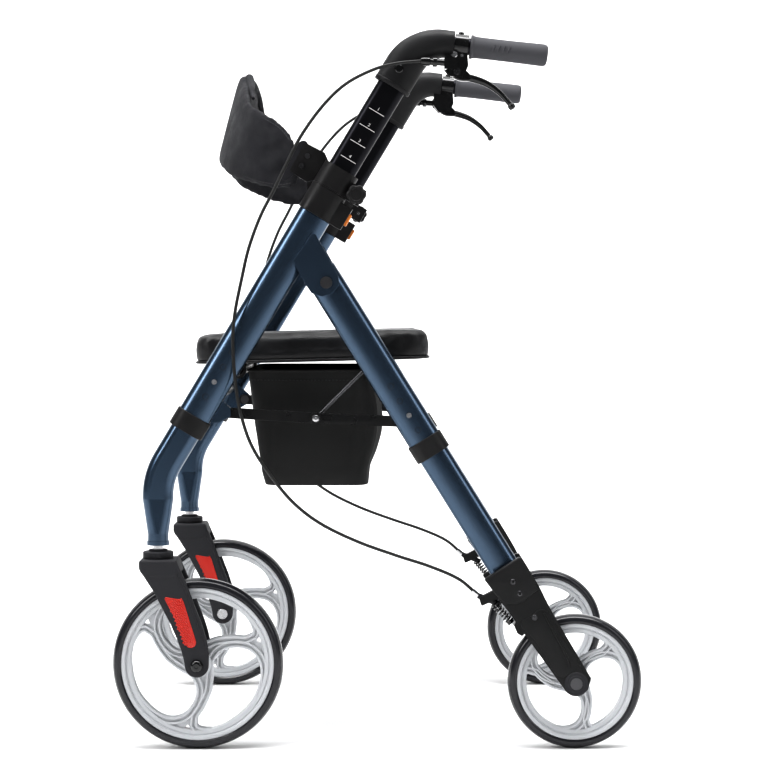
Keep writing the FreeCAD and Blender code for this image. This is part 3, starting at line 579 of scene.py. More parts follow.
def fit_both(piece: bpy.types.Object, body: str, slot: str, *nodes: str, split: bool = True) -> list[bpy.types.Object]:
    """Fits a left-hand piece and its mirror image.

    Args:
        piece: the left-hand piece, its name without a side.
        body: the body's name, without its side where split is set.
        slot: the material slot; not used.
        nodes: the nodes that it stands for, without their side.
        split: whether bodies and nodes are named by side.

    Returns:
        Both pieces.
    """
    base = piece.name
    twins = {Side.LEFT: piece, Side.RIGHT: other_side(piece, f"right_{base}")}
    piece.name = f"left_{base}"
    for side, twin in twins.items():
        word = f"{side.word}_" if split else ""
        fit(twin, word + body, slot, *(word + node for node in nodes))
    return list(twins.values())


def dressed_copy(node: str, name: str, finish: Finish, round_width: float = 0.8) -> bpy.types.Object:
    """A merged copy of a frame part with its sharp edges rounded."""
    work = bmesh.new()
    work.from_mesh(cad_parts[node].data)
    bmesh.ops.remove_doubles(work, verts=work.verts, dist=MERGE)
    bmesh.ops.dissolve_limit(work, angle_limit=math.radians(1.0), verts=work.verts, edges=work.edges)
    mesh = bpy.data.meshes.new(name)
    work.to_mesh(mesh)
    work.free()
    piece = finish_piece(name, mesh, finish)
    return rounded(piece, round_width, 2) if round_width else piece


def spun(points: Sequence[Flat], turn: float) -> list[Flat]:
    """Polar points (radius, degrees) as flat points, turned by an angle in degrees."""
    return [(r * math.cos(math.radians(a + turn)), r * math.sin(math.radians(a + turn))) for r, a in points]


@dataclass
class Wheel:
    """A cast wheel with three hooked spokes and a round-shouldered tyre."""

    label: str
    body: str
    radius: float
    width: float
    centre: Flat
    turn: float
    tyre_depth: float = 13
    rim_half: float = 13
    hub_half: float = 19.6
    spoke_half: float = 8
    drawn_seat: float = 114
    plate_edge: float = 105
    lip_limit: float = 9.5

    def build(self) -> None:
        """Builds the rim and the tyre on both sides."""
        middle = (self.centre[0], -TRACK, self.centre[1])
        rim = joined(f"{self.label}_rim_cast", [self.ring(middle), self.spokes(), self.hub(middle)])
        fit_both(rim, self.body, "rim_silver", f"{self.label}_rim")
        fit_both(self.tyre(middle), self.body, "tyre_black", f"{self.label}_tyre")

    @property
    def seat(self) -> float:
        """The rim's outer radius, where the tyre sits."""
        return self.radius - self.tyre_depth

    def ring(self, middle: Spot) -> bpy.types.Object:
        """The rim's stepped ring."""
        half = self.rim_half
        steps = ((-14.5, 0.42), (-14.8, 0.52), (-13.6, 0.64), (-10.2, 0.70), (-8.8, 0.72), (-8.2, 0.66),
                 (-7.4, 0.66), (-6.8, 0.78), (-5.6, 0.97), (-3.6, 1.03), (-1.0, 1.03), (1.2, 0.92))
        inner = [(self.seat + r, -half * share) for r, share in steps]
        outer = [(self.seat + r, half * share) for r, share in reversed(steps)]
        return turned("ring", inner + outer, middle, ACROSS, Finishes.RIM, 120, closed=True)

    def hub(self, middle: Spot) -> bpy.types.Object:
        """The hub's barrel with its bearing caps."""
        end = self.hub_half
        half = [(6.2, end), (10, end), (10.4, end - 0.8), (11, end - 0.8), (11.5, end), (14.5, end - 0.2),
                (15.6, end - 1.4), (16.2, end - 7), (18.5, self.spoke_half + 1.6), (21, self.spoke_half - 1)]
        profile = [(r, -z) for r, z in half] + [(r, z) for r, z in reversed(half)]
        return turned("hub", profile, middle, ACROSS, Finishes.RIM, 64, closed=True)

    def spokes(self) -> bpy.types.Object:
        """The plate of hooked spokes: large openings with raised lips, and small ones by the rim."""
        scale = self.seat / self.drawn_seat
        large = [(91, 148.5), (97, 152.5), (101, 166), (99.5, 180), (99, 195), (98.5, 210), (96, 229), (91, 243),
                 (80.5, 254), (65, 262), (49.7, 267), (38, 268), (29, 262), (22.5, 246), (22.6, 224), (28.5, 200),
                 (37, 184), (46.2, 174), (58, 163), (70, 155), (81, 149)]
        by_rim = [(103.5, 137), (104, 143.5), (97, 142.6), (93.5, 140)]
        edge = self.plate_edge * scale
        loops = [[(edge * math.cos(a * math.pi / 18), edge * math.sin(a * math.pi / 18)) for a in range(36)]]
        lips = []
        for third in range(3):
            opening = [(x * scale, z * scale) for x, z in spun(large, self.turn + 120 * third)]
            loops.append(opening)
            loops.append([(x * scale, z * scale) for x, z in spun(by_rim, self.turn + 120 * third)])
            for out, rise, radius in ((1.0, 0.0, 2.3), (8.2, 1.0, 1.9)):
                for sign in (-1, 1):
                    lips.append(self.lip(self.widened(opening, out), sign * (self.spoke_half - 2.2 + rise), radius))
        return joined("spokes", [self.holed_plate(loops, self.spoke_half - 3.4), *lips])

    def holed_plate(self, loops: Sequence[Sequence[Flat]], half: float) -> bpy.types.Object:
        """A flat plate round the wheel's centre whose first outline is its edge and the others are openings."""
        work = bmesh.new()
        lines = []
        for loop in loops:
            closed = [(x, 0, z) for x, z in (loop[-1], *loop, loop[0])]
            lines.append([Vector((v.x, v.z, 0)) for v in smooth_line(closed, 3)][3:-3])
        spots = [spot for line in lines for spot in line]
        faces = geometry.tessellate_polygon(lines)
        sheets = []
        for y in (-half, half):
            sheets.append([work.verts.new(Vector((self.centre[0] + p.x, -TRACK + y, self.centre[1] + p.y)) * MM)
                           for p in spots])
            for face in faces:
                work.faces.new([sheets[-1][number] for number in face])
        start = 0
        for line in lines:
            count = len(line)
            for number in range(count):
                a, b = start + number, start + (number + 1) % count
                work.faces.new((sheets[0][a], sheets[0][b], sheets[1][b], sheets[1][a]))
            start += count
        return finish_piece("spokes", mesh_of(work), Finishes.RIM)

    def widened(self, outline: Sequence[Flat], out: float) -> list[Flat]:
        """An outline moved outwards along its own normals, kept inside the rim."""
        made = []
        count = len(outline)
        for number, (x, z) in enumerate(outline):
            before, after = outline[number - 1], outline[(number + 1) % count]
            run = Vector((after[0] - before[0], after[1] - before[1])).normalized()
            spot = Vector((x - run.y * -out, z - run.x * out))
            most = self.seat - self.lip_limit
            if spot.length > most:
                spot = spot.normalized() * most
            made.append((spot.x, spot.y))
        return made

    def lip(self, outline: Sequence[Flat], y: float, radius: float) -> bpy.types.Object:
        """A raised rounded lip that follows an outline on the spokes' face."""
        spots = [(self.centre[0] + x, -TRACK + y, self.centre[1] + z) for x, z in outline]
        line = [tuple(v) for v in smooth_line([spots[-1], *spots, spots[0]], 3)][3:-3]
        return rod("lip", line + line[:1], radius, Finishes.RIM, order=2, sides=2)

    def tyre(self, middle: Spot) -> bpy.types.Object:
        """The tyre, with two fine moulding lines beside its tread."""
        half = self.width / 2
        profile = []
        count = 28
        for number in range(count + 1):
            angle = math.pi * (number / count - 0.5)
            swell = abs(math.cos(angle)) ** 0.62
            line = 0.35 if number in (8, 20) else 0
            profile.append((self.seat + self.tyre_depth * swell - line, half * math.sin(angle)))
        profile += [(self.seat - 0.6, half * 0.86), (self.seat - 0.6, -half * 0.86)]
        profile[0] = (self.seat + 1.5, -half * 0.98)
        profile[count] = (self.seat + 1.5, half * 0.98)
        return turned(f"{self.label}_tyre_tread", profile, middle, ACROSS, Finishes.TYRE, 144, closed=True)


class Repeat(Enum):
    """What a repeated detail is set out on."""

    POINTS = "points"
    LINE = "line"


@dataclass
class Repeater:
    """Sets out one small shape many times with a node tree."""

    name: str
    kind: Repeat
    finish: Finish
    size: float
    length: float
    sides: int = 6
    spacing: float = 5.0
    turn: Spot = (math.pi / 2, 0.0, 0.0)

    def tree(self) -> bpy.types.NodeTree:
        """Builds the node tree, with named inputs for the shape's size, length and spacing."""
        tree = bpy.data.node_groups.new(self.name, "GeometryNodeTree")
        face = tree.interface
        face.new_socket("Geometry", in_out="INPUT", socket_type="NodeSocketGeometry")
        for name in ("Size", "Length", "Spacing"):
            face.new_socket(name, in_out="INPUT", socket_type="NodeSocketFloat")
        face.new_socket("Geometry", in_out="OUTPUT", socket_type="NodeSocketGeometry")
        node = tree.nodes.new
        link = tree.links.new
        start = node("NodeGroupInput")
        shape = node("GeometryNodeMeshCone")
        shape.inputs["Vertices"].default_value = self.sides
        link(start.outputs["Size"], shape.inputs["Radius Bottom"])
        taper = node("ShaderNodeMath")
        taper.operation = "MULTIPLY"
        taper.inputs[1].default_value = 0.35 if self.kind is Repeat.POINTS else 0.9
        link(start.outputs["Size"], taper.inputs[0])
        link(taper.outputs[0], shape.inputs["Radius Top"])
        link(start.outputs["Length"], shape.inputs["Depth"])
        place = node("GeometryNodeInstanceOnPoints")
        link(shape.outputs["Mesh"], place.inputs["Instance"])
        if self.kind is Repeat.LINE:
            spread = node("GeometryNodeCurveToPoints")
            spread.mode = "LENGTH"
            link(start.outputs["Geometry"], spread.inputs["Curve"])
            link(start.outputs["Spacing"], spread.inputs["Length"])
            link(spread.outputs["Points"], place.inputs["Points"])
            aim = node("FunctionNodeAlignEulerToVector")
            aim.axis = "Z"
            link(spread.outputs["Tangent"], aim.inputs["Vector"])
            link(aim.outputs["Rotation"], place.inputs["Rotation"])
        else:
            link(start.outputs["Geometry"], place.inputs["Points"])
            place.inputs["Rotation"].default_value = self.turn
        solid = node("GeometryNodeRealizeInstances")
        coat = node("GeometryNodeSetMaterial")
        coat.inputs["Material"].default_value = self.finish.build()
        end = node("NodeGroupOutput")
        link(place.outputs["Instances"], solid.inputs["Geometry"])
        link(solid.outputs["Geometry"], coat.inputs["Geometry"])
        link(coat.outputs["Geometry"], end.inputs["Geometry"])
        return tree

    def run(self, points: Sequence[Spot]) -> bpy.types.Object:
        """Sets the shape out on points, or along a smooth line through them.

        Args:
            points: the places in millimetres.

        Returns:
            A plain mesh piece.
        """
        if self.kind is Repeat.LINE:
            data = bpy.data.curves.new(self.name, "CURVE")
            data.dimensions = "3D"
            spline = data.splines.new("NURBS")
            spline.points.add(len(points) - 1)
            for point, spot in zip(spline.points, points):
                point.co = (*(Vector(spot) * MM), 1)
            spline.order_u = 3
            spline.use_endpoint_u = True
        else:
            data = bpy.data.meshes.new(self.name)
            data.from_pydata([Vector(spot) * MM for spot in points], [], [])
        holder = shown(self.name, data)
        modifier = holder.modifiers.new("repeat", "NODES")
        modifier.node_group = self.tree()
        sizes = {"Size": self.size, "Length": self.length, "Spacing": self.spacing}
        for item in modifier.node_group.interface.items_tree:
            if item.in_out == "INPUT" and item.name in sizes:
                modifier[item.identifier] = sizes[item.name] * MM
        mesh = bpy.data.meshes.new_from_object(holder.evaluated_get(bpy.context.evaluated_depsgraph_get()))
        modifier.node_group = None
        bpy.data.objects.remove(holder)
        return finish_piece(self.name, mesh, self.finish)


@dataclass
class Casters:
    """The front forks with their reflectors, stems and axles."""

    outer_face: float = -311.0
    prism_pitch: float = 3.6

    def build(self) -> None:
        """Builds the caster parts on both sides."""
        fit_both(self.fork(), "caster", "fork_black", "caster_fork")
        fit_both(self.lens(self.outer_face - 0.4, -1), "caster", "reflector_red", "reflector")
        inner = self.lens(-TRACK + 31.4, 1)
        inner.name = "reflector_inner"
        fit_both(inner, "caster", "reflector_red")
        cup = turned("caster_bearing_cup", [(8.2, 297), (13, 297), (14, 296.2), (14, 294.2), (21, 294), (22.6, 293),
                     (22.6, 285.5), (21.8, 284.2), (21.8, 282.6), (23, 281), (8.2, 281)], (-326, -TRACK, 0),
                     Vector((0, 0, 1)), Finishes.FORK, 64, closed=True)
        fit_both(cup, "caster", "fork_black")
        fit_both(dressed_copy("left_caster_stem_and_axle", "caster_steel", Finishes.STEEL, 0.5), "caster",
                 "silver_steel", "caster_stem_and_axle")
        cap = turned("caster_axle_cap", [(0, -3.6), (2.6, -3.6), (2.8, -4.6), (4.4, -4.8), (6.6, -4.2), (8.4, -2.4),
                     (9.4, 0), (9.4, 4)], (FRONT_AXLE[0], -314, FRONT_AXLE[1]), ACROSS, Finishes.LEVER, 40)
        fit_both(cap, "caster", "lever_black")

    def fork(self) -> bpy.types.Object:
        """The fork: two arms with round ends under a wide shouldered crown."""
        arm = [(-296, 281), (-299, 283), (-349, 283), (-351.5, 281), (-351.5, 272), (-350, 267), (-344, 258),
               (-331.4, 238.5), (-318, 213), (-305.6, 189), (-296.5, 168), (-290.3, 151), (-286.6, 138),
               *arc(FRONT_AXLE, 17.6, range(180, 361, 12)),
               (-249.2, 140), (-250.6, 155), (-254, 171), (-260, 190), (-267.4, 209), (-282.7, 250), (-293, 274)]
        crown = [(-295.5, 281), (-298, 283.4), (-349, 283.4), (-352, 281), (-352, 271), (-349.6, 265.5),
                 (-343, 257.2), (-301, 257.2), (-290.5, 265)]
        parts = [outline_plate("arm", [arm], low, low + 10.5, 2.4, Finishes.FORK, smooth=False)
                 for low in (-TRACK - 31, -TRACK + 20.5)]
        parts.append(outline_plate("crown", [crown], -TRACK - 31.6, -TRACK + 31.6, 3.4, Finishes.FORK, smooth=False))
        edge = [(-293, 262), (-282.7, 247), (-270, 209), (-256.6, 171), (-253, 152)]
        for y in (self.outer_face + 0.2, -TRACK + 30.8):
            parts.append(rod("edge", [(x - 2, y, z) for x, z in edge], 1.1, Finishes.FORK))
        return joined("caster_fork_shell", parts)

    def lens(self, face: float, outward: int) -> bpy.types.Object:
        """A red lens on one face of the fork: a plate with a bezel and rows of small prisms.

        Args:
            face: the y of its face in millimetres.
            outward: the sign of the y that it looks along.

        Returns:
            The lens.
        """
        outline = [(-312.5, 228.5), (-287.8, 224.5), (-286.5, 222), (-268.5, 164), (-268.4, 160), (-270.5, 156.4),
                   (-274.5, 154.6), (-279, 155.4), (-282.4, 158.6), (-297.5, 196.5), (-312.8, 226)]
        low, high = sorted((face, face - 0.9 * outward))
        glass = outline_plate("lens", [outline], low, high, 0.3, Finishes.RED, smooth=False)
        bezel = rod("bezel", [(x, face, z) for x, z in outline + outline[:1]], 0.8, Finishes.RED, order=2)
        places = []
        lean = Vector((0.30, -0.954))
        side = Vector((0.954, 0.30))
        for row in range(24):
            for column in range(9):
                down = 3.0 + row * self.prism_pitch * 0.866
                across = (column - 4 + 0.5 * (row % 2)) * self.prism_pitch * 0.9
                half = 11.0 - 4.4 * down / 72
                if abs(across) < half and down < 70:
                    spot = Vector((-299.6, 226)) + lean * down + side * across
                    places.append((spot.x, face + 0.1 * outward, spot.y))
        prisms = Repeater("prisms", Repeat.POINTS, Finishes.RED, 1.7, 0.8).run(places)
        return joined("reflector_lens", [glass, bezel, prisms])


@dataclass
class RearForks:
    """The rear wheel castings with their brakes."""

    face: float = -309.0

    def build(self) -> None:
        """Builds the castings, springs, shoes and screws on both sides."""
        fork = dressed_copy("left_rear_fork", "rear_fork_casting", Finishes.REAR_FORK, 2.2)
        fit_both(fork, "rear_leg_body", "fork_black", "rear_fork")
        cheek = [(158.5, 253.5), (159.5, 256.5), (208, 287.6), (212.5, 287.5), (215, 284), (225.5, 265.6), (237.8, 240),
                 (247, 220.7), (264.3, 192), (284.8, 159.3), (305.2, 124.5), (311.5, 110)]
        cheek += arc(REAR_AXLE, 19, range(20, -161, -12))
        cheek += [(264, 108.5), (244, 141), (223.4, 168.5), (203, 194), (188.7, 214.5), (174, 233)]
        block = [(158.5, 253.5), (159.5, 256.5), (208, 287.6), (212.5, 287.5), (215, 284), (225.5, 265.6), (238, 240),
                 (224, 229), (215, 222), (206, 219), (187.5, 217), (174, 233)]
        blade = [(240, 210), (250, 208), (262, 188), (286, 150), (303, 121), (305, 113), (292, 118), (281, 112),
                 (270, 110), (246, 146), (226, 172), (212, 190), (226, 200)]
        parts = [outline_plate("cheek", [cheek], y, y + 9, 2.0, Finishes.REAR_FORK, smooth=False)
                 for y in (self.face - 1.2, -TRACK + 20.8)]
        parts.append(outline_plate("block", [block], self.face - 4.2, self.face + 4, 2.8, Finishes.REAR_FORK,
                                   smooth=False))
        parts.append(outline_plate("blade", [blade], self.face - 2.8, self.face + 1, 1.3, Finishes.REAR_FORK))
        parts.append(turned("boss", [(0, 0.8), (4, 0.8), (4.6, 0), (11.5, 0), (12.5, 0.8), (16.4, 0.8), (17.8, 2.4),
                                     (17.8, 5)], (REAR_AXLE[0], self.face - 4.6, REAR_AXLE[1]), ACROSS, Finishes.FORK,
                            48))
        parts.append(rod("rib", [(246, self.face - 3.0, 205), (258, self.face - 3.2, 182), (276, self.face - 3.2, 149),
                                 (284, self.face - 2.6, 131), (284, self.face - 2.2, 124)], 1.5, Finishes.REAR_FORK))
        for x, z in ((200, 251.5), (210, 234), (232, 198.4)):
            parts.append(turned("screw", [(0, 0.6), (1.6, 0.6), (1.8, -1.0), (3.6, -0.8), (4.4, 0.2), (4.4, 3)],
                                (x, self.face - (4.4 if z > 220 else 3.4), z), ACROSS, Finishes.DARK_STEEL, 28))
        fit_both(joined("rear_fork_trim", parts), "rear_leg_body", "fork_black")
        steel = dressed_copy("left_rear_axle_and_screws", "rear_steel", Finishes.DARK_STEEL, 0.5)
        fit_both(steel, "rear_leg_body", "silver_steel", "rear_axle_and_screws")
        shoe = dressed_copy("left_brake_shoe", "brake_shoe_block", Finishes.COLLAR, 1.0)
        fit_both(shoe, "shoe", "dark_plastic", "brake_shoe")
        fit_both(self.spring(), "rear_leg_body", "silver_steel", "brake_spring")

    def spring(self) -> bpy.types.Object:
        """The return spring: a coil round the brake wire, with its end block."""
        low = Vector((197, -TRACK, 189))
        top = Vector((173.8, -TRACK, 215.5))
        run = top - low
        turn = Vector((0, 0, 1)).rotation_difference(run).to_matrix()
        turns, radius = 7, 5.6
        steps = 12 * turns
        coil = []
        for step in range(steps + 1):
            angle = 2 * math.pi * turns * step / steps
            swing = Vector((radius * math.cos(angle), radius * math.sin(angle), 0))
            coil.append(tuple(low + run * (step / steps) + turn @ swing))
        wire = rod("wire", [tuple(low), tuple(top)], 0.9, Finishes.STEEL, order=2)
        block = rod("block", [tuple(low - run * 0.12), tuple(low + run * 0.05)], 5.4, Finishes.LEVER, order=2)
        return joined("brake_spring_coil", [rod("coil", coil, 1.25, Finishes.LEVER, sides=2), wire, block])


def on_main(height: float, across: float = 0.0, y: float = -TRACK) -> Spot:
    """A point by the main tube: height along its axis, across it in its plane, in millimetres."""
    sine, cosine = math.sin(math.radians(MAIN_LEAN)), math.cos(math.radians(MAIN_LEAN))
    return (MAIN_FOOT[0] + sine * height + cosine * across, y, MAIN_FOOT[1] + cosine * height - sine * across)


def oval_ring(spot: Vector, angle: float, long: float, short: float, steps: int = 56) -> list[Vector]:
    """A rounded section, in metres, across a path that leans by an angle from upright."""
    squareness = 0.86
    ring = []
    for turn in around(steps):
        wide, deep = signed_power(math.cos(turn), squareness), signed_power(math.sin(turn), squareness)
        ring.append((spot + rearward(angle) * long * wide + ACROSS * short * deep) * MM)
    return ring


GRIP_AXIS = rearward(math.radians(GRIP_DROP))
ELBOW = Vector((61.6, -TRACK, 1049.6))


def on_grip(x: float) -> Vector:
    """The point of the grip's axis at a given x, in millimetres."""
    return ELBOW + GRIP_AXIS * ((x - ELBOW.x) / GRIP_AXIS.x)


@dataclass
class Handles:
    """Posts with their height marks, elbow covers, grips, brake perches and levers."""

    bend_radius: float = 65.0
    bend_steps: int = 18
    first_mark: float = 464.5
    mark_pitch: float = 27.0
    mark_length: float = 25.5

    def build(self) -> None:
        """Builds the handle parts on both sides."""
        fit_both(dressed_copy("left_handle_post", "handle_post_bar", Finishes.POST, 0), "handle", "post_gloss",
                 "handle_post")
        fit_both(self.marks(), "handle", "post_gloss")
        for side in Side:
            self.digits(side)
        fit_both(self.cover(), "handle", "dark_plastic", "elbow_cover")
        fit_both(self.grip(), "handle", "grip_rubber", "grip")
        fit_both(self.perch(), "handle", "lever_black", "brake_perch")
        fit_both(self.lever(), "lever", "lever_black", "brake_lever")

    def cover(self) -> bpy.types.Object:
        """The moulded cover that sweeps from the oval post to the round grip."""
        tilt = math.radians(MAIN_LEAN)
        end_turn = math.radians(90 + GRIP_DROP)
        tangent = self.bend_radius * math.tan((end_turn - tilt) / 2)
        start = Vector(on_main(508))
        up = upward(tilt)
        stops: list[tuple[Vector, float, float]] = []
        straight = (ELBOW - start).length - tangent
        for number in range(5):
            stops.append((start + up * straight * number / 4, tilt, 0))
        corner = start + up * straight
        middle = corner + rearward(tilt) * self.bend_radius
        for number in range(1, self.bend_steps + 1):
            angle = tilt + (end_turn - tilt) * number / self.bend_steps
            stops.append((middle - rearward(angle) * self.bend_radius, angle, number / self.bend_steps))
        last = on_grip(112)
        bend_end = stops[-1][0]
        for number in range(1, 3):
            stops.append((bend_end.lerp(last, number / 2), end_turn, 1))
        rings = []
        for number, (spot, angle, share) in enumerate(stops):
            blend = share * share * (3 - 2 * share)
            rings.append(oval_ring(spot, angle, 28 + (20.4 - 28) * blend, 18 + (19.6 - 18) * blend))
            if number == 0:
                rings.insert(0, oval_ring(spot, angle, 26.2, 16.2))
                rings.insert(0, oval_ring(spot + up * 4, angle, 22.4, 12.2))
                rings.append(oval_ring(spot + up * 1.2, angle, 28.8, 18.8))
                rings.append(oval_ring(spot + up * 5.5, angle, 28.9, 18.9))
                rings.append(oval_ring(spot + up * 6.3, angle, 28.0, 18.0))
        rings.append(oval_ring(last + GRIP_AXIS * 1.0, end_turn, 19.4, 18.8))
        rings.append(oval_ring(last + GRIP_AXIS * 1.2, end_turn, 12.9, 12.9))
        shell = loft("shell", rings, Finishes.COVER, caps=False)
        screw = turned("screw", [(0, -1.2), (2.6, -1.2), (2.8, -2.2), (5.2, -2.0), (6.4, -0.8), (6.6, 1.5)],
                       (31.8, -TRACK - 18.2, 1007), ACROSS, Finishes.LEVER, 36)
        seam = rod("seam", [tuple(spot - rearward(angle) * (28.1 - 7.8 * share)) for spot, angle, share in stops],
                   0.35, Finishes.COLLAR)
        return joined("elbow_shell", [shell, screw, seam])

    def marks(self) -> bpy.types.Object:
        """White height lines across the outer face of the post."""
        tilt = math.radians(MAIN_LEAN)
        bar = rearward(tilt) * self.mark_length / 2
        up = upward(tilt) * 0.45
        lines = []
        for number in range(4):
            x, _, z = on_main(self.first_mark - self.mark_pitch * number, 0.7)
            corners = [(x + a * bar.x + b * up.x, z + a * bar.z + b * up.z)
                       for a, b in ((-1, -1), (1, -1), (1, 1), (-1, 1))]
            lines.append(outline_plate("line", [corners], -TRACK - 11.15, -TRACK - 10.7, 0.05, Finishes.MARK,
                                       smooth=False))
        return joined("post_lines", lines)

    def digits(self, side: Side) -> None:
        """The numbers 1 to 5 beside the height lines, upright for whoever stands at that side."""
        numbers = []
        for number in range(5):
            data = bpy.data.curves.new("digit", "FONT")
            data.body = str(number + 1)
            data.size = 6.8 * MM
            data.extrude = 0.1 * MM
            data.align_x = "CENTER"
            mesh = plain_mesh("digit", data)
            x, y, z = on_main(self.first_mark - self.mark_pitch * number + 3.0, 1.0)
            face = -TRACK - 11.04
            stand = Matrix.Rotation(math.radians(90), 4, "X")
            lean = Matrix.Rotation(math.radians(-side.value * MAIN_LEAN), 4, "Y")
            about = Matrix.Rotation(math.pi if side is Side.RIGHT else 0, 4, "Z")
            spot = Vector((x, face * -side.value, z)) * MM
            mesh.transform(Matrix.Translation(spot) @ about @ lean @ stand)
            numbers.append(finish_piece("digit", mesh, Finishes.MARK))
        fit(joined(f"{side.word}_post_digits", numbers), f"{side.word}_handle", "post_gloss")

    def grip(self) -> bpy.types.Object:
        """The rubber grip with its end flange, rounded tip and four raised ticks."""
        profile = [(12.7, 0), (16.8, 0.2), (17.6, 1.2), (17.6, 3.2), (16.6, 4.6), (15.9, 8), (15.6, 30), (15.7, 60),
                   (16.0, 85), (16.3, 104), (16.2, 109), (15.2, 112.6), (12.6, 114.6), (8, 115.2), (0, 115.4)]
        sleeve = turned("sleeve", profile, tuple(on_grip(137)), GRIP_AXIS, Finishes.GRIP, 72)
        ticks = []
        for number in range(4):
            spot = on_grip(171 + 7.5 * number)
            low = spot + Vector((-2.6, -15.2, -4.6))
            high = spot + Vector((2.6, -15.2, 4.6))
            ticks.append(rod("tick", [tuple(low), tuple(spot + Vector((0, -16.2, 0))), tuple(high)], 1.0,
                             Finishes.GRIP))
        return joined("grip_sleeve", [sleeve, *ticks])

    def perch(self) -> bpy.types.Object:
        """The brake perch: a clamp band and block with its barrel, locknut and small bright screws."""
        body = dressed_copy("left_brake_perch", "perch_body", Finishes.LEVER, 1.3)
        disc = turned("disc", [(0, -1.4), (1.2, -1.4), (1.4, -0.7), (4.2, -1.0), (5, -0.2), (5, 1)],
                      (113, -293, 1028.8), ACROSS, Finishes.STEEL, 32)
        small = turned("small", [(0, -0.8), (2.2, -0.8), (2.6, 0), (2.6, 1)], (124.5, -293, 1027), ACROSS,
                       Finishes.STEEL, 24)
        pivot = turned("pivot", [(0, -1.2), (2.6, -1.2), (2.8, -2), (5, -1.9), (5.6, -1), (5.6, 1)],
                       (117.4, -293.2, 1003.8), ACROSS, Finishes.DARK_STEEL, 36)
        nub = turned("nub", [(0, 4.2), (3.4, 4), (4.2, 2.6), (4.4, -2)], (124, -TRACK, 1058.5),
                     Vector((0.11, 0, 1)).normalized(), Finishes.LEVER, 28)
        way = Vector((-math.cos(math.radians(4)), 0, math.sin(math.radians(4))))
        nut = turned("nut", [(5, -3.4), (6.9, -3.2), (7.3, -2.4), (7.3, 2.4), (6.9, 3.2), (5, 3.4)],
                     (84.6, -302, 1016.1), way, Finishes.LEVER, 18)
        sleeve = turned("sleeve", [(5.3, -6), (6.6, -5), (6.4, 4), (5.2, 8)], (72, -302, 1017), way,
                        Finishes.LEVER, 32)
        return joined("perch_and_barrel", [body, disc, small, pivot, nub, nut, sleeve])

    def lever(self) -> bpy.types.Object:
        """The curved brake lever with its root plate and ball tip."""
        line = [(112, 1001), (134, 996), (149, 992), (163, 986.7), (180, 974.7), (190, 964), (197.5, 955)]
        blade = rod("blade", [(x, -TRACK, z) for x, z in line], 5.6, Finishes.LEVER,
                    radii=[1, 1, 0.95, 0.86, 0.74, 0.68, 0.66], sides=6)
        root = outline_plate("root", [[(108, 1010), (125, 1008.6), (136, 1001), (139, 992.5), (130, 990.2),
                                       (114, 994), (107.4, 1001)]], -TRACK - 5.8, -TRACK + 5.8, 2, Finishes.LEVER)
        tip = turned("tip", [(0, -5.6), (3.6, -4.4), (5.4, -1.8), (5.6, 0.8), (4.4, 3.8), (0, 5.4)],
                     (198.6, -TRACK, 953.2), Vector((0.62, 0, -0.78)), Finishes.LEVER, 32)
        return joined("brake_lever_blade", [blade, root, tip])


def smooth_line(points: Sequence[Spot], steps: int = 6) -> list[Vector]:
    """A smooth line through every point, as many short steps."""
    spots = [Vector(p) for p in points]
    ends = [spots[0] * 2 - spots[1], *spots, spots[-1] * 2 - spots[-2]]
    line = []
    for a, b, c, d in zip(ends, ends[1:], ends[2:], ends[3:]):
        for t in (step / steps for step in range(steps)):
            line.append(smooth_step(a, b, c, d, t))
    return line + [spots[-1]]


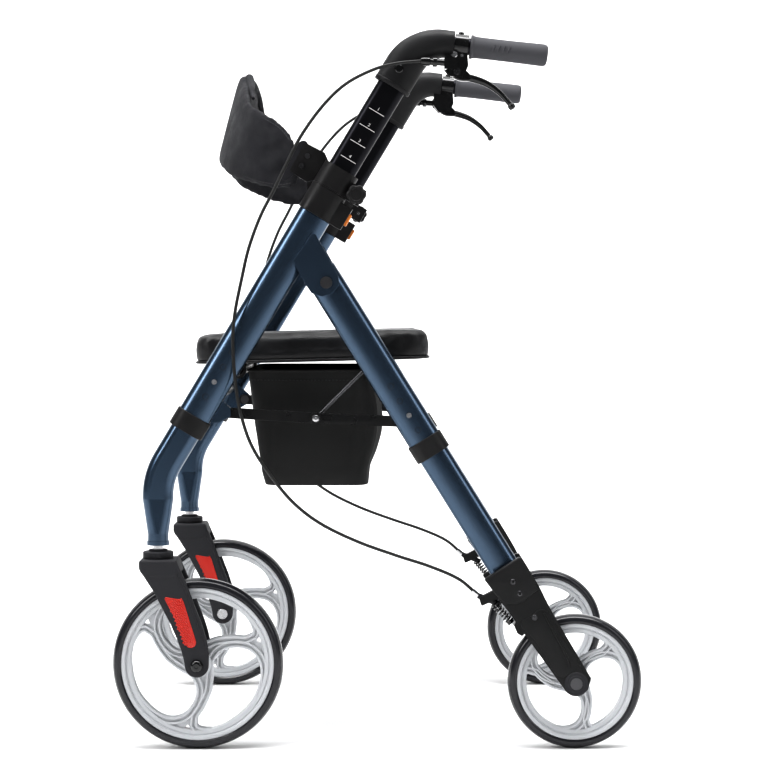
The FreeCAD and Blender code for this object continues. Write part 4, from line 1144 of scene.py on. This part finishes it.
@dataclass
class Upholstery:
    """The seat pad and the padded back strap, puffed as cloth round their filling."""

    voxel: float = 5.0
    pressure: float = 4.0
    frames: int = 20

    def puffed(self, piece: bpy.types.Object, held: Callable[[Vector], bool], most: float) -> bpy.types.Object:
        """Swells a closed block as stitched cloth.

        Args:
            piece: the closed block.
            held: tells which points, in millimetres, are sewn down.
            most: the furthest that a point may move, in millimetres.

        Returns:
            The same piece, with its new mesh.
        """
        even = piece.modifiers.new("even", "REMESH")
        even.mode = "VOXEL"
        even.voxel_size = self.voxel * MM
        baked(piece)
        group = piece.vertex_groups.new(name="held")
        group.add([v.index for v in piece.data.vertices if held(v.co / MM)], 1, "REPLACE")
        before = [v.co.copy() for v in piece.data.vertices]
        cloth = piece.modifiers.new("cloth", "CLOTH")
        settings = cloth.settings
        settings.quality = 6
        settings.mass = 0.3
        settings.tension_stiffness = settings.compression_stiffness = settings.shear_stiffness = 12
        settings.bending_stiffness = 1.5
        settings.use_pressure = True
        settings.uniform_pressure_force = self.pressure
        settings.shrink_min = -0.035
        settings.effector_weights.gravity = 0
        settings.vertex_group_mass = "held"
        cloth.collision_settings.use_self_collision = False
        cloth.point_cache.frame_start, cloth.point_cache.frame_end = 1, self.frames
        for number in range(1, self.frames + 1):
            bpy.context.scene.frame_set(number)
        baked(piece)
        bpy.context.scene.frame_set(1)
        for vertex, start in zip(piece.data.vertices, before):
            move = vertex.co - start
            if move.length > most * MM:
                vertex.co = start + move.normalized() * most * MM
        piece.vertex_groups.clear()
        relax = piece.modifiers.new("relax", "SMOOTH")
        relax.factor, relax.iterations = 0.5, 3
        smooth = piece.modifiers.new("smooth", "SUBSURF")
        smooth.levels = smooth.render_levels = 1
        baked(piece)
        piece.data.shade_smooth()
        return piece

    def build(self) -> None:
        """Builds the seat, the back strap, and their piping and stitches."""
        self.seat()
        self.back()

    @staticmethod
    def seat_point(x: float, y: float, z: float) -> Spot:
        """A point in the seat pad's own tilted frame, from its front lower edge's middle."""
        lean = math.radians(1.41)
        return (-275.2 + x * math.cos(lean) - z * math.sin(lean), y, 581.3 + x * math.sin(lean) + z * math.cos(lean))

    def seat(self) -> None:
        """The seat: a board pad with a crowned top, piping round its lower edge and stitches at its front."""
        half, length, thick = 230.0, 354.0, 32.0
        rings = []
        levels = [(-11.5, 9.0), (-10, 3.5), (-6, 0.6), (0, 0.0), (12, 0.0), (21, 0.5), (26, 2.5), (29.6, 7),
                  (31, 13), (31.2, 30)]
        for z, inset in levels:
            rings.append(self.slab(half - inset, length, inset, z))
        pad = loft("seat_cushion", rings, Finishes.SEAT)
        self.puffed(pad, lambda p: p.z < 588 + (p.x + 275) * 0.0246, 3.2)
        fit(pad, "seat", "seat_vinyl", "seat_pad")
        rim = self.slab(half - 0.8, length, 0.8, -8.5)
        rim_mm = [tuple(v / MM) for v in rim]
        welt = rod("seat_welt", rim_mm + rim_mm[:1], 2.1, Finishes.SEAT, order=2)
        fit(welt, "seat", "seat_vinyl")
        lip = [self.seat_point(1.6, -half + 30 + 400 * t / 18, 4) for t in range(19)]
        seam = Repeater("seat_stitches", Repeat.LINE, Finishes.THREAD, 0.55, 3.2, 6, 5.0).run(lip)
        fit(seam, "seat", "seat_vinyl")
        board = dressed_copy("seat_board", "seat_base", Finishes.BOARD, 1.2)
        fit(board, "seat", "board_plastic", "seat_board")

    def slab(self, half: float, length: float, inset: float, z: float, corner: float = 34) -> list[Vector]:
        """One level of the seat pad: a rectangle with round corners."""
        reach = max(corner - inset, 6)
        ring = []
        for cx, cy, first in ((length - inset - reach, half - reach, 0), (inset + reach, half - reach, 90),
                              (inset + reach, -half + reach, 180), (length - inset - reach, -half + reach, 270)):
            for step in range(9):
                angle = math.radians(first + 90 * step / 8)
                ring.append(Vector(self.seat_point(cx + reach * math.cos(angle), cy + reach * math.sin(angle), z))
                            * MM)
        return ring

    def back(self) -> None:
        """The back strap: a curved pad with wings, a folded lip, a seam and webbing tabs."""
        stations = ((-262, (-117, 840), (-123, 899), 6), (-246, (-143, 833), (-143, 930), 8),
                    (-226, (-178, 838), (-172, 951), 11), (-195, (-214, 853), (-192, 966), 13),
                    (-150, (-236, 867), (-201, 992), 15), (-80, (-247, 876), (-209, 1022), 16),
                    (0, (-250, 879), (-212, 1026), 16))
        rows = list(stations) + [(-y, low, high, thick) for y, low, high, thick in reversed(stations[:-1])]
        rings = []
        spans = self.between(rows)
        for number, (y, low, high, thick) in enumerate(spans):
            start, end = Vector((low[0], y, low[1])), Vector((high[0], y, high[1]))
            near, far = spans[max(number - 1, 0)], spans[min(number + 1, len(spans) - 1)]
            run = Vector((far[1][0] + far[2][0] - near[1][0] - near[2][0], 2 * (far[0] - near[0]),
                          far[1][1] + far[2][1] - near[1][1] - near[2][1])).normalized()
            rise = (end - start).normalized()
            out = run.cross(rise).normalized()
            ring = []
            for turn in around(36):
                across, deep = signed_power(math.cos(turn), 0.35), signed_power(math.sin(turn), 0.7)
                ring.append((start.lerp(end, 0.5 + across * 0.5) + out * thick * (0.5 + 0.5 * deep)) * MM)
            rings.append(ring)
        strap = loft("back_strap", rings, Finishes.STRAP)
        self.puffed(strap, lambda p: abs(p.y) > 250, 6)
        fit(strap, "front_frame", "strap_fabric", "backrest_pad")
        for name, share in (("back_top_hem", 0.93), ("back_low_hem", 0.08)):
            path = []
            for y, low, high, _ in spans[3:-3]:
                path.append((low[0] + (high[0] - low[0]) * share - 1.2, y, low[1] + (high[1] - low[1]) * share - 0.6))
            hem = Repeater(name, Repeat.LINE, Finishes.THREAD, 0.6, 3.4, 6, 5.2).run(path)
            fit(hem, "front_frame", "strap_fabric")
        fold = [(x + 9, y, z - 6.5) for y, _, (x, z), _ in spans if abs(y) < 172]
        taper = [min(1, 0.35 + 0.13 * min(n, len(fold) - 1 - n)) for n in range(len(fold))]
        lip = rod("back_lip", fold, 7.0, Finishes.STRAP, radii=taper, sides=5)
        fit(lip, "front_frame", "strap_fabric")
        tab = outline_plate("back_tab", [[(-140, 846), (-128, 850), (-106, 888), (-104, 901), (-114, 903), (-131, 868),
                                          (-142, 855)]], -265.6, -263.9, 0.6, Finishes.STRAP)
        fit_both(tab, "front_frame", "strap_fabric", split=False)

    @staticmethod
    def between(rows: Sequence[tuple]) -> list[tuple]:
        """Rows of sections with smooth ones added between them."""
        flat = [(y, *low, *high, thick) for y, low, high, thick in rows]
        made = []
        for number in range(len(flat) - 1):
            near = [flat[max(number - 1, 0)], flat[number], flat[number + 1], flat[min(number + 2, len(flat) - 1)]]
            for t in (step / 6 for step in range(6)):
                made.append([smooth_step(*values, t) for values in zip(*near)])
        made.append(list(flat[-1]))
        return [(v[0], (v[1], v[2]), (v[3], v[4]), v[5]) for v in made]


@dataclass
class Bag:
    """The open shopping bag under the seat."""

    half: float = 217.0
    levels: int = 26
    steps: int = 240
    floor_z: float = 386.0
    hem_z: float = 560.5
    front_x: float = -198.0
    rear_x: float = -9.0
    hem_to_stitches: float = 14.0

    def build(self) -> None:
        """Builds the bag's sagging shell, its top hem and the stitches below it."""
        rings = [self.ring(level / self.levels) for level in range(self.levels + 1)]
        shell = loft("bag_shell", list(reversed(rings)), Finishes.BAG, caps=False)
        work = bmesh.new()
        work.from_mesh(shell.data)
        floor = [edge for edge in work.edges if edge.is_boundary and edge.verts[0].co.z < (self.floor_z + 64) * MM]
        bmesh.ops.edgeloop_fill(work, edges=floor)
        work.to_mesh(shell.data)
        work.free()
        wall = shell.modifiers.new("wall", "SOLIDIFY")
        wall.thickness = 1.6 * MM
        wall.offset = -1
        baked(shell)
        shell.data.shade_smooth()
        shell.data.set_sharp_from_angle(angle=math.radians(50))
        fit(shell, "front_frame", "bag_vinyl", "bag")
        top = [tuple(v / MM) for v in rings[-1]]
        hem = rod("bag_hem", top[::3] + top[:1], 1.9, Finishes.BAG, order=3)
        fit(hem, "front_frame", "bag_vinyl")
        stitch_line = [(x, y, z - self.hem_to_stitches) for x, y, z in top[::6] + top[:1]]
        stitches = Repeater("bag_stitches", Repeat.LINE, Finishes.THREAD, 0.45, 3.0, 5, 5.4).run(stitch_line)
        fit(stitches, "front_frame", "bag_vinyl")
        for piece in (shell, hem, stitches):
            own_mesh(piece)

    def ring(self, rise: float) -> list[Vector]:
        """One level of the bag, from its floor (0) to its hem (1)."""
        z = self.floor_z + (self.hem_z - self.floor_z) * rise
        front = self.front_x + 22 * (1 - rise) ** 1.6 + 3 * max(0, 0.12 - rise) / 0.12
        rear = self.rear_x + 15 * math.sin(math.pi * min(1, (1 - rise) * 1.15)) ** 1.2 - 4 * (1 - rise) ** 3
        half = self.half - 1 - 4 * math.sin(math.pi * rise) - 9 * max(0, 0.1 - rise) / 0.1
        middle, reach = (front + rear) / 2, (rear - front) / 2
        ring = []
        soft = math.sin(math.pi * min(1, rise * 1.02)) ** 0.8
        for turn in around(self.steps):
            wide, deep = math.cos(turn), math.sin(turn)
            x = middle + reach * signed_power(wide, 0.2)
            y = half * signed_power(deep, 0.2)
            fold = (2.2 * math.sin(x * 0.085 + 1.3 + rise * 1.2)
                    + 1.8 * abs(math.sin(x * 0.075 + 0.4 + rise * 2.1)) ** 0.6
                    + 1.3 * abs(math.sin(x * 0.16 + 0.9 - rise * 2.6)) ** 0.5
                    + 1.8 * math.sin(y * 0.05 + 2.0 * rise) + 1.2 * abs(math.sin(y * 0.09 + 1 + 2.6 * rise)) ** 0.5
                    + 0.7 * math.sin((x + y) * 0.23 - 4 * rise))
            sag = soft * fold - 3.4 * soft
            by_side = abs(deep) ** 0.2 > 0.93
            bias = (0, math.copysign(1, deep)) if by_side else (wide, deep)
            ring.append(Vector((x + bias[0] * sag, y + bias[1] * sag, z)) * MM)
        return ring


@dataclass
class FrameParts:
    """The tubes, collars, clamps, brackets, links and buttons."""

    kept: dict[str, Finish]

    def build(self) -> None:
        """Paints the parts that stay as they are, and dresses the moulded ones."""
        for node, finish in self.kept.items():
            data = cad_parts[node].data
            data.materials.clear()
            data.materials.append(finish.build())
        dressed = (("main_collars", "collars_and_sleeves", Finishes.COLLAR, 1.4, "front_frame", "dark_plastic"),
                   ("backrest_clamps", "clamps_and_plates", Finishes.COLLAR, 1.2, "front_frame", "dark_plastic"),
                   ("hinge_brackets", "hinge_plates", Finishes.FRAME, 1.0, "front_frame", "frame_paint"),
                   ("rear_collars", "low_collars", Finishes.COLLAR, 1.4, "rear_frame", "dark_plastic"),
                   ("front_brace_links", "front_links", Finishes.BRACE, 1.0, "front_brace", "cross_metal"),
                   ("rear_brace_links", "rear_links", Finishes.BRACE, 1.0, "rear_brace", "cross_metal"))
        for node, name, finish, width, body, slot in dressed:
            fit(dressed_copy(node, name, finish, width), body, slot, node)
        fit_both(dressed_copy("left_release_button", "release_button_cap", Finishes.ORANGE, 1.6), "release",
                 "orange_plastic", "release_button")
        self.knob()
        self.tubes()
        self.links()

    @staticmethod
    def tube(start: Spot, lean: float, length: float, long: float, short: float,
             plug: float = 0.0) -> bpy.types.Object:
        """One hollow oval tube with slightly broken end edges.

        Args:
            start: the middle of its lower end in millimetres.
            lean: its lean from upright in degrees.
            length: its length in millimetres.
            long: half its section's long side.
            short: half its section's short side.
            plug: how far down from the top it is solid.

        Returns:
            The tube.
        """
        angle = math.radians(lean)
        up = upward(angle)
        wall, edge, steps = 1.7, 0.6, 96
        outside = ((0, edge), (edge, 0), (length / 3, 0), (2 * length / 3, 0), (length - edge, 0), (length, edge))
        rings = [oval_ring(Vector(start) + up * height, angle, long - inset, short - inset, steps)
                 for height, inset in outside]
        bore = [oval_ring(Vector(start) + up * height, angle, long - wall, short - wall, steps)
                for height in (length - plug, 0)]
        return loft("tube", bore + rings, Finishes.FRAME, caps=plug > 0, closed=plug == 0)

    def tubes(self) -> None:
        """The oval side tubes with their row of adjustment holes, drawn as dark dishes of painted shade, and the cross
        tube under the seat.
        """
        def down(length: float) -> Spot:
            """A point at a distance down the rear tube's axis."""
            lean = math.radians(REAR_LEAN)
            return (REAR_HEAD[0] + math.sin(lean) * length, -TRACK, REAR_HEAD[1] - math.cos(lean) * length)

        def holes(spots: Sequence[Spot]) -> list[bpy.types.Object]:
            """The dark rimmed openings of the adjustment holes: dark dishes whose black is painted shade for the holes'
            insides.
            """
            return [turned("hole", hole, (x, -TRACK - 15, z), ACROSS, Finishes.COLLAR, 28) for x, _, z in spots]

        # The hole's profile: a dark dish at the tube's face, painted shade in place of a real opening.
        hole = [(0, 0.2), (3.6, 0.2), (4.1, -0.15), (4.5, -0.1), (4.6, 0.8)]
        marks = holes([on_main(HOLE_PITCH * n) for n in (2, 1, -1)])
        main_tube = self.tube(on_main(-86), MAIN_LEAN, 374, 25, 15)
        for piece in self.twins(joined("main_tube_skin", [main_tube, *marks])):
            fit(piece, "front_frame", "frame_paint", "main_tubes")
        marks = holes([down(231.2 + HOLE_PITCH * n) for n in (-2, -1, 1)])
        rear_tube = self.tube(down(301), -REAR_LEAN, 321, 25, 15, plug=44)
        brace = turned("brace", [(0, -29), (6.4, -29), (7, -28), (7, -26.6), (4, -26.6), (4, -14)], (53, -TRACK, 485),
                       Vector((0, -1, 0)), Finishes.DARK_STEEL, 32)
        for piece in self.twins(joined("rear_tube_skin", [rear_tube, brace, *marks])):
            fit(piece, "rear_frame", "frame_paint", "rear_tubes")
        x, _, z = down(157)
        cross = rod("rear_cross_bar", [(x, -265, z), (x, 265, z)], 10, Finishes.BRACE, order=2, sides=8)
        fit(cross, "rear_frame", "frame_paint")
        leg = self.tube(down(512), -REAR_LEAN, 367, 23, 13)
        leg.name = "rear_leg_skin"
        fit_both(leg, "rear_leg_body", "frame_paint", "rear_leg")

    @staticmethod
    def twins(piece: bpy.types.Object) -> list[bpy.types.Object]:
        """A left-hand piece and its mirror image, named by side."""
        base = piece.name
        twin = other_side(piece, f"right_{base}")
        piece.name = f"left_{base}"
        return [piece, twin]

    def links(self) -> None:
        """The lift rods, and the bright screws in the links' middle pivots."""
        low, top = Vector((-92, -TRACK + 35, 490.5)), Vector((-12.5, -TRACK + 35, 569.5))
        eye = [(4.1, -3.4), (7.2, -3.4), (7.8, -2.8), (7.8, 2.8), (7.2, 3.4), (4.1, 3.4)]
        parts = [rod("rod", [tuple(low), tuple(top)], 2.8, Finishes.DARK_STEEL, order=2, sides=6)]
        for spot in (low, top):
            parts.append(turned("eye", eye, tuple(spot), ACROSS, Finishes.BRACE, 36, closed=True))
        for piece in self.twins(joined("lift_rod_bar", parts)):
            fit(piece, "lift_rods", "silver_steel", "seat_lift_rods")
        screw = turned("middle_screw", [(0, -2.2), (2, -2.2), (2.2, -3.2), (4.4, -2.8), (5.8, -1), (6, 0.5)],
                       (-92, -TRACK + 17.6, 490.5), ACROSS, Finishes.STEEL, 32)
        for piece in self.twins(screw):
            fit(piece, "rear_brace", "silver_steel")

    def knob(self) -> None:
        """The lobed clamp knob with its dished face."""
        centre = on_main(344.3, 38)
        lobes, steps = 6, 120
        work = bmesh.new()
        rings = []
        levels = ((-16.0, 8.6, 0.2), (-16.6, 9.4, 0.3), (-16.6, 12.0, 0.8), (-15.4, 14.2, 1.0), (-13.5, 15.0, 1.0),
                  (-3.0, 15.0, 1.0), (-1.0, 14.4, 0.9), (0.0, 13.0, 0.6), (0.2, 7.0, 0.0))
        for depth, reach, lobed in levels:
            ring = []
            for turn in around(steps):
                dip = 1 - 0.13 * lobed * (1 - abs(math.cos(lobes * turn / 2)) ** 1.5)
                ring.append(work.verts.new((Vector(centre) + Vector((reach * dip * math.cos(turn), depth - 13,
                                                                     reach * dip * math.sin(turn)))) * MM))
            rings.append(ring)
        for first, second in zip(rings, rings[1:]):
            for number in range(steps):
                after = (number + 1) % steps
                work.faces.new((first[number], first[after], second[after], second[number]))
        work.faces.new(rings[0])
        work.faces.new(rings[-1])
        head = finish_piece("head", mesh_of(work), Finishes.COLLAR)
        shank = rod("shank", [(centre[0], -TRACK - 14, centre[2]), (centre[0], -TRACK + 11, centre[2])], 3,
                    Finishes.STEEL, order=2)
        fit_both(joined("knob_head", [head, shank]), "knob", "dark_plastic", "clamp_knob")


@dataclass
class Cables:
    """The brake cables, run along the frame all the way from lever to shoe."""

    radius: float = 2.5

    def build(self) -> None:
        """Builds each side's cable in three lengths, with a ferrule and a stop at each rear leg."""
        route = [(64, -302, 1017.6), (30, -304, 1014), (-5, -305, 1005), (-46, -304.5, 984), (-80, -304, 952),
                 (-112, -303.5, 908), (-134, -303, 866), (-153, -303, 827), (-172, -303, 790), (-189, -303, 744),
                 (-200, -303, 697), (-210, -303, 647), (-213, -303, 606), (-211, -303, 563), (-207, -302.5, 527),
                 (-200, -302, 493), (-187, -301, 455), (-165, -300, 418), (-128, -297, 371), (-86, -293, 337),
                 (-30, -289, 309), (30, -285, 287), (78, -282, 271), (121, -280.5, 252), (149, -280, 228.5)]
        line = [tuple(p) for p in smooth_line(route)]
        cuts = ((0, 48, "upper", "handle"), (48, 126, "middle", "rear_frame"), (126, len(line) - 1, "lower", "leg"))
        for side in Side:
            flip = 1 if side is Side.LEFT else -1
            for start, end, word, kind in cuts:
                spots = [(x, y * flip, z) for x, y, z in line[start:end + 1]]
                piece = rod(f"{side.word}_cable_{word}", spots, self.radius, Finishes.CABLE, order=2)
                if word == "upper":
                    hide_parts("brake_cables")
                if kind == "handle":
                    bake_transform(piece)
                elif kind == "rear_frame":
                    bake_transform(piece)
                else:
                    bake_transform(piece)
        ferrule = turned("cable_ferrule", [(2.6, -10), (3.6, -9.6), (3.6, 0), (3.2, 2), (2.6, 2.4)],
                         (149, -TRACK, 228.5), Vector((28, 0, -23.5)).normalized(), Finishes.STEEL, 28)
        fit_both(ferrule, "rear_leg_body", "silver_steel")
        stop = rod("cable_stop", [(150, -TRACK, 227), (182, -TRACK, 214)], 4.2, Finishes.FORK, order=2)
        fit_both(stop, "rear_leg_body", "fork_black")


class Studio:
    """The pale floor, the soft lights and the camera."""

    def build(self) -> None:
        """Builds the floor, the lights, the world and the camera."""
        work = bmesh.new()
        sweep = [(-9, 0), (1.6, 0)] + [(1.6 + 2.4 * math.sin(a * math.pi / 24), 2.4 - 2.4 * math.cos(a * math.pi / 24))
                                       for a in range(1, 13)] + [(4, 9)]
        rows = [[work.verts.new((x, y, z)) for x in (-12, 12)] for y, z in sweep]
        for first, second in zip(rows, rows[1:]):
            work.faces.new((first[0], first[1], second[1], second[0]))
        floor = shown("floor", mesh_of(work))
        floor.data.shade_smooth()
        ground = Finish("floor_white", (0.9, 0.9, 0.9), Grain.MOULDED, 0.7, scale=40, bump=0.0, variation=0.01)
        floor.data.materials.append(ground.build())
        lights = [self.light("key", (-2.6, -2.2, 2.6), (0, 0, 0.5), 0.9, 2.6, 80),
                  self.light("side", (3.0, -2.4, 2.0), (0, 0, 0.5), 1.0, 2.4, 30),
                  self.light("backdrop", (0, -0.6, 5.4), (0, 4, 2.2), 7, 2.0, 520),
                  self.light("overhead", (0, 0.2, 4.6), (0, 0, 0), 4.5, 3.5, 150)]
        world = bpy.data.worlds.new("white_room")
        world.use_nodes = True
        world.node_tree.nodes["Background"].inputs["Color"].default_value = (0.95, 0.97, 1, 1)
        world.node_tree.nodes["Background"].inputs["Strength"].default_value = 0.16
        bpy.context.scene.world = world
        bpy.context.scene.view_settings.view_transform = "Standard"
        bpy.context.scene.view_settings.gamma = 0.8
        data = bpy.data.cameras.new("camera")
        data.lens, data.sensor_width = 101.0, 36.0
        camera = shown("camera", data)
        camera.location = (-0.0108, -3.478, 0.643)
        camera.rotation_euler = (math.radians(90 - 1.8), 0, math.radians(-0.37))
        bpy.context.scene.camera = camera

    @staticmethod
    def light(name: str, place: Spot, aim: Spot, width: float, height: float, power: float) -> bpy.types.Object:
        """A soft area light that points at a spot, sizes in metres and power in watts."""
        data = bpy.data.lights.new(name, "AREA")
        data.shape = "RECTANGLE"
        data.size, data.size_y, data.energy = width, height, power
        lamp = shown(name, data)
        lamp.location = place
        lamp.rotation_euler = (Vector(aim) - Vector(place)).to_track_quat("-Z", "Y").to_euler()
        return lamp


def kept_finishes() -> dict[str, Finish]:
    """The finishes of the frame parts that are shown as they are."""
    kept = {"frame_bolts": Finishes.DARK_STEEL, "front_cross_tubes": Finishes.BRACE}
    for side in Side:
        kept[f"{side.word}_front_leg"] = Finishes.FRAME
        kept[f"{side.word}_front_snap_button"] = kept[f"{side.word}_rear_snap_button"] = Finishes.STEEL
    return kept


def main() -> None:
    logging.basicConfig(level=logging.INFO)
    FrameParts(kept_finishes()).build()
    Wheel("front", "front_wheel", 127, 32, FRONT_AXLE, 0).build()
    Wheel("rear", "rear_wheel", 100, 30, REAR_AXLE, 21).build()
    Casters().build()
    RearForks().build()
    Handles().build()
    Upholstery().build()
    Bag().build()
    Cables().build()
    Studio().build()


if __name__ == "__main__":
    main()
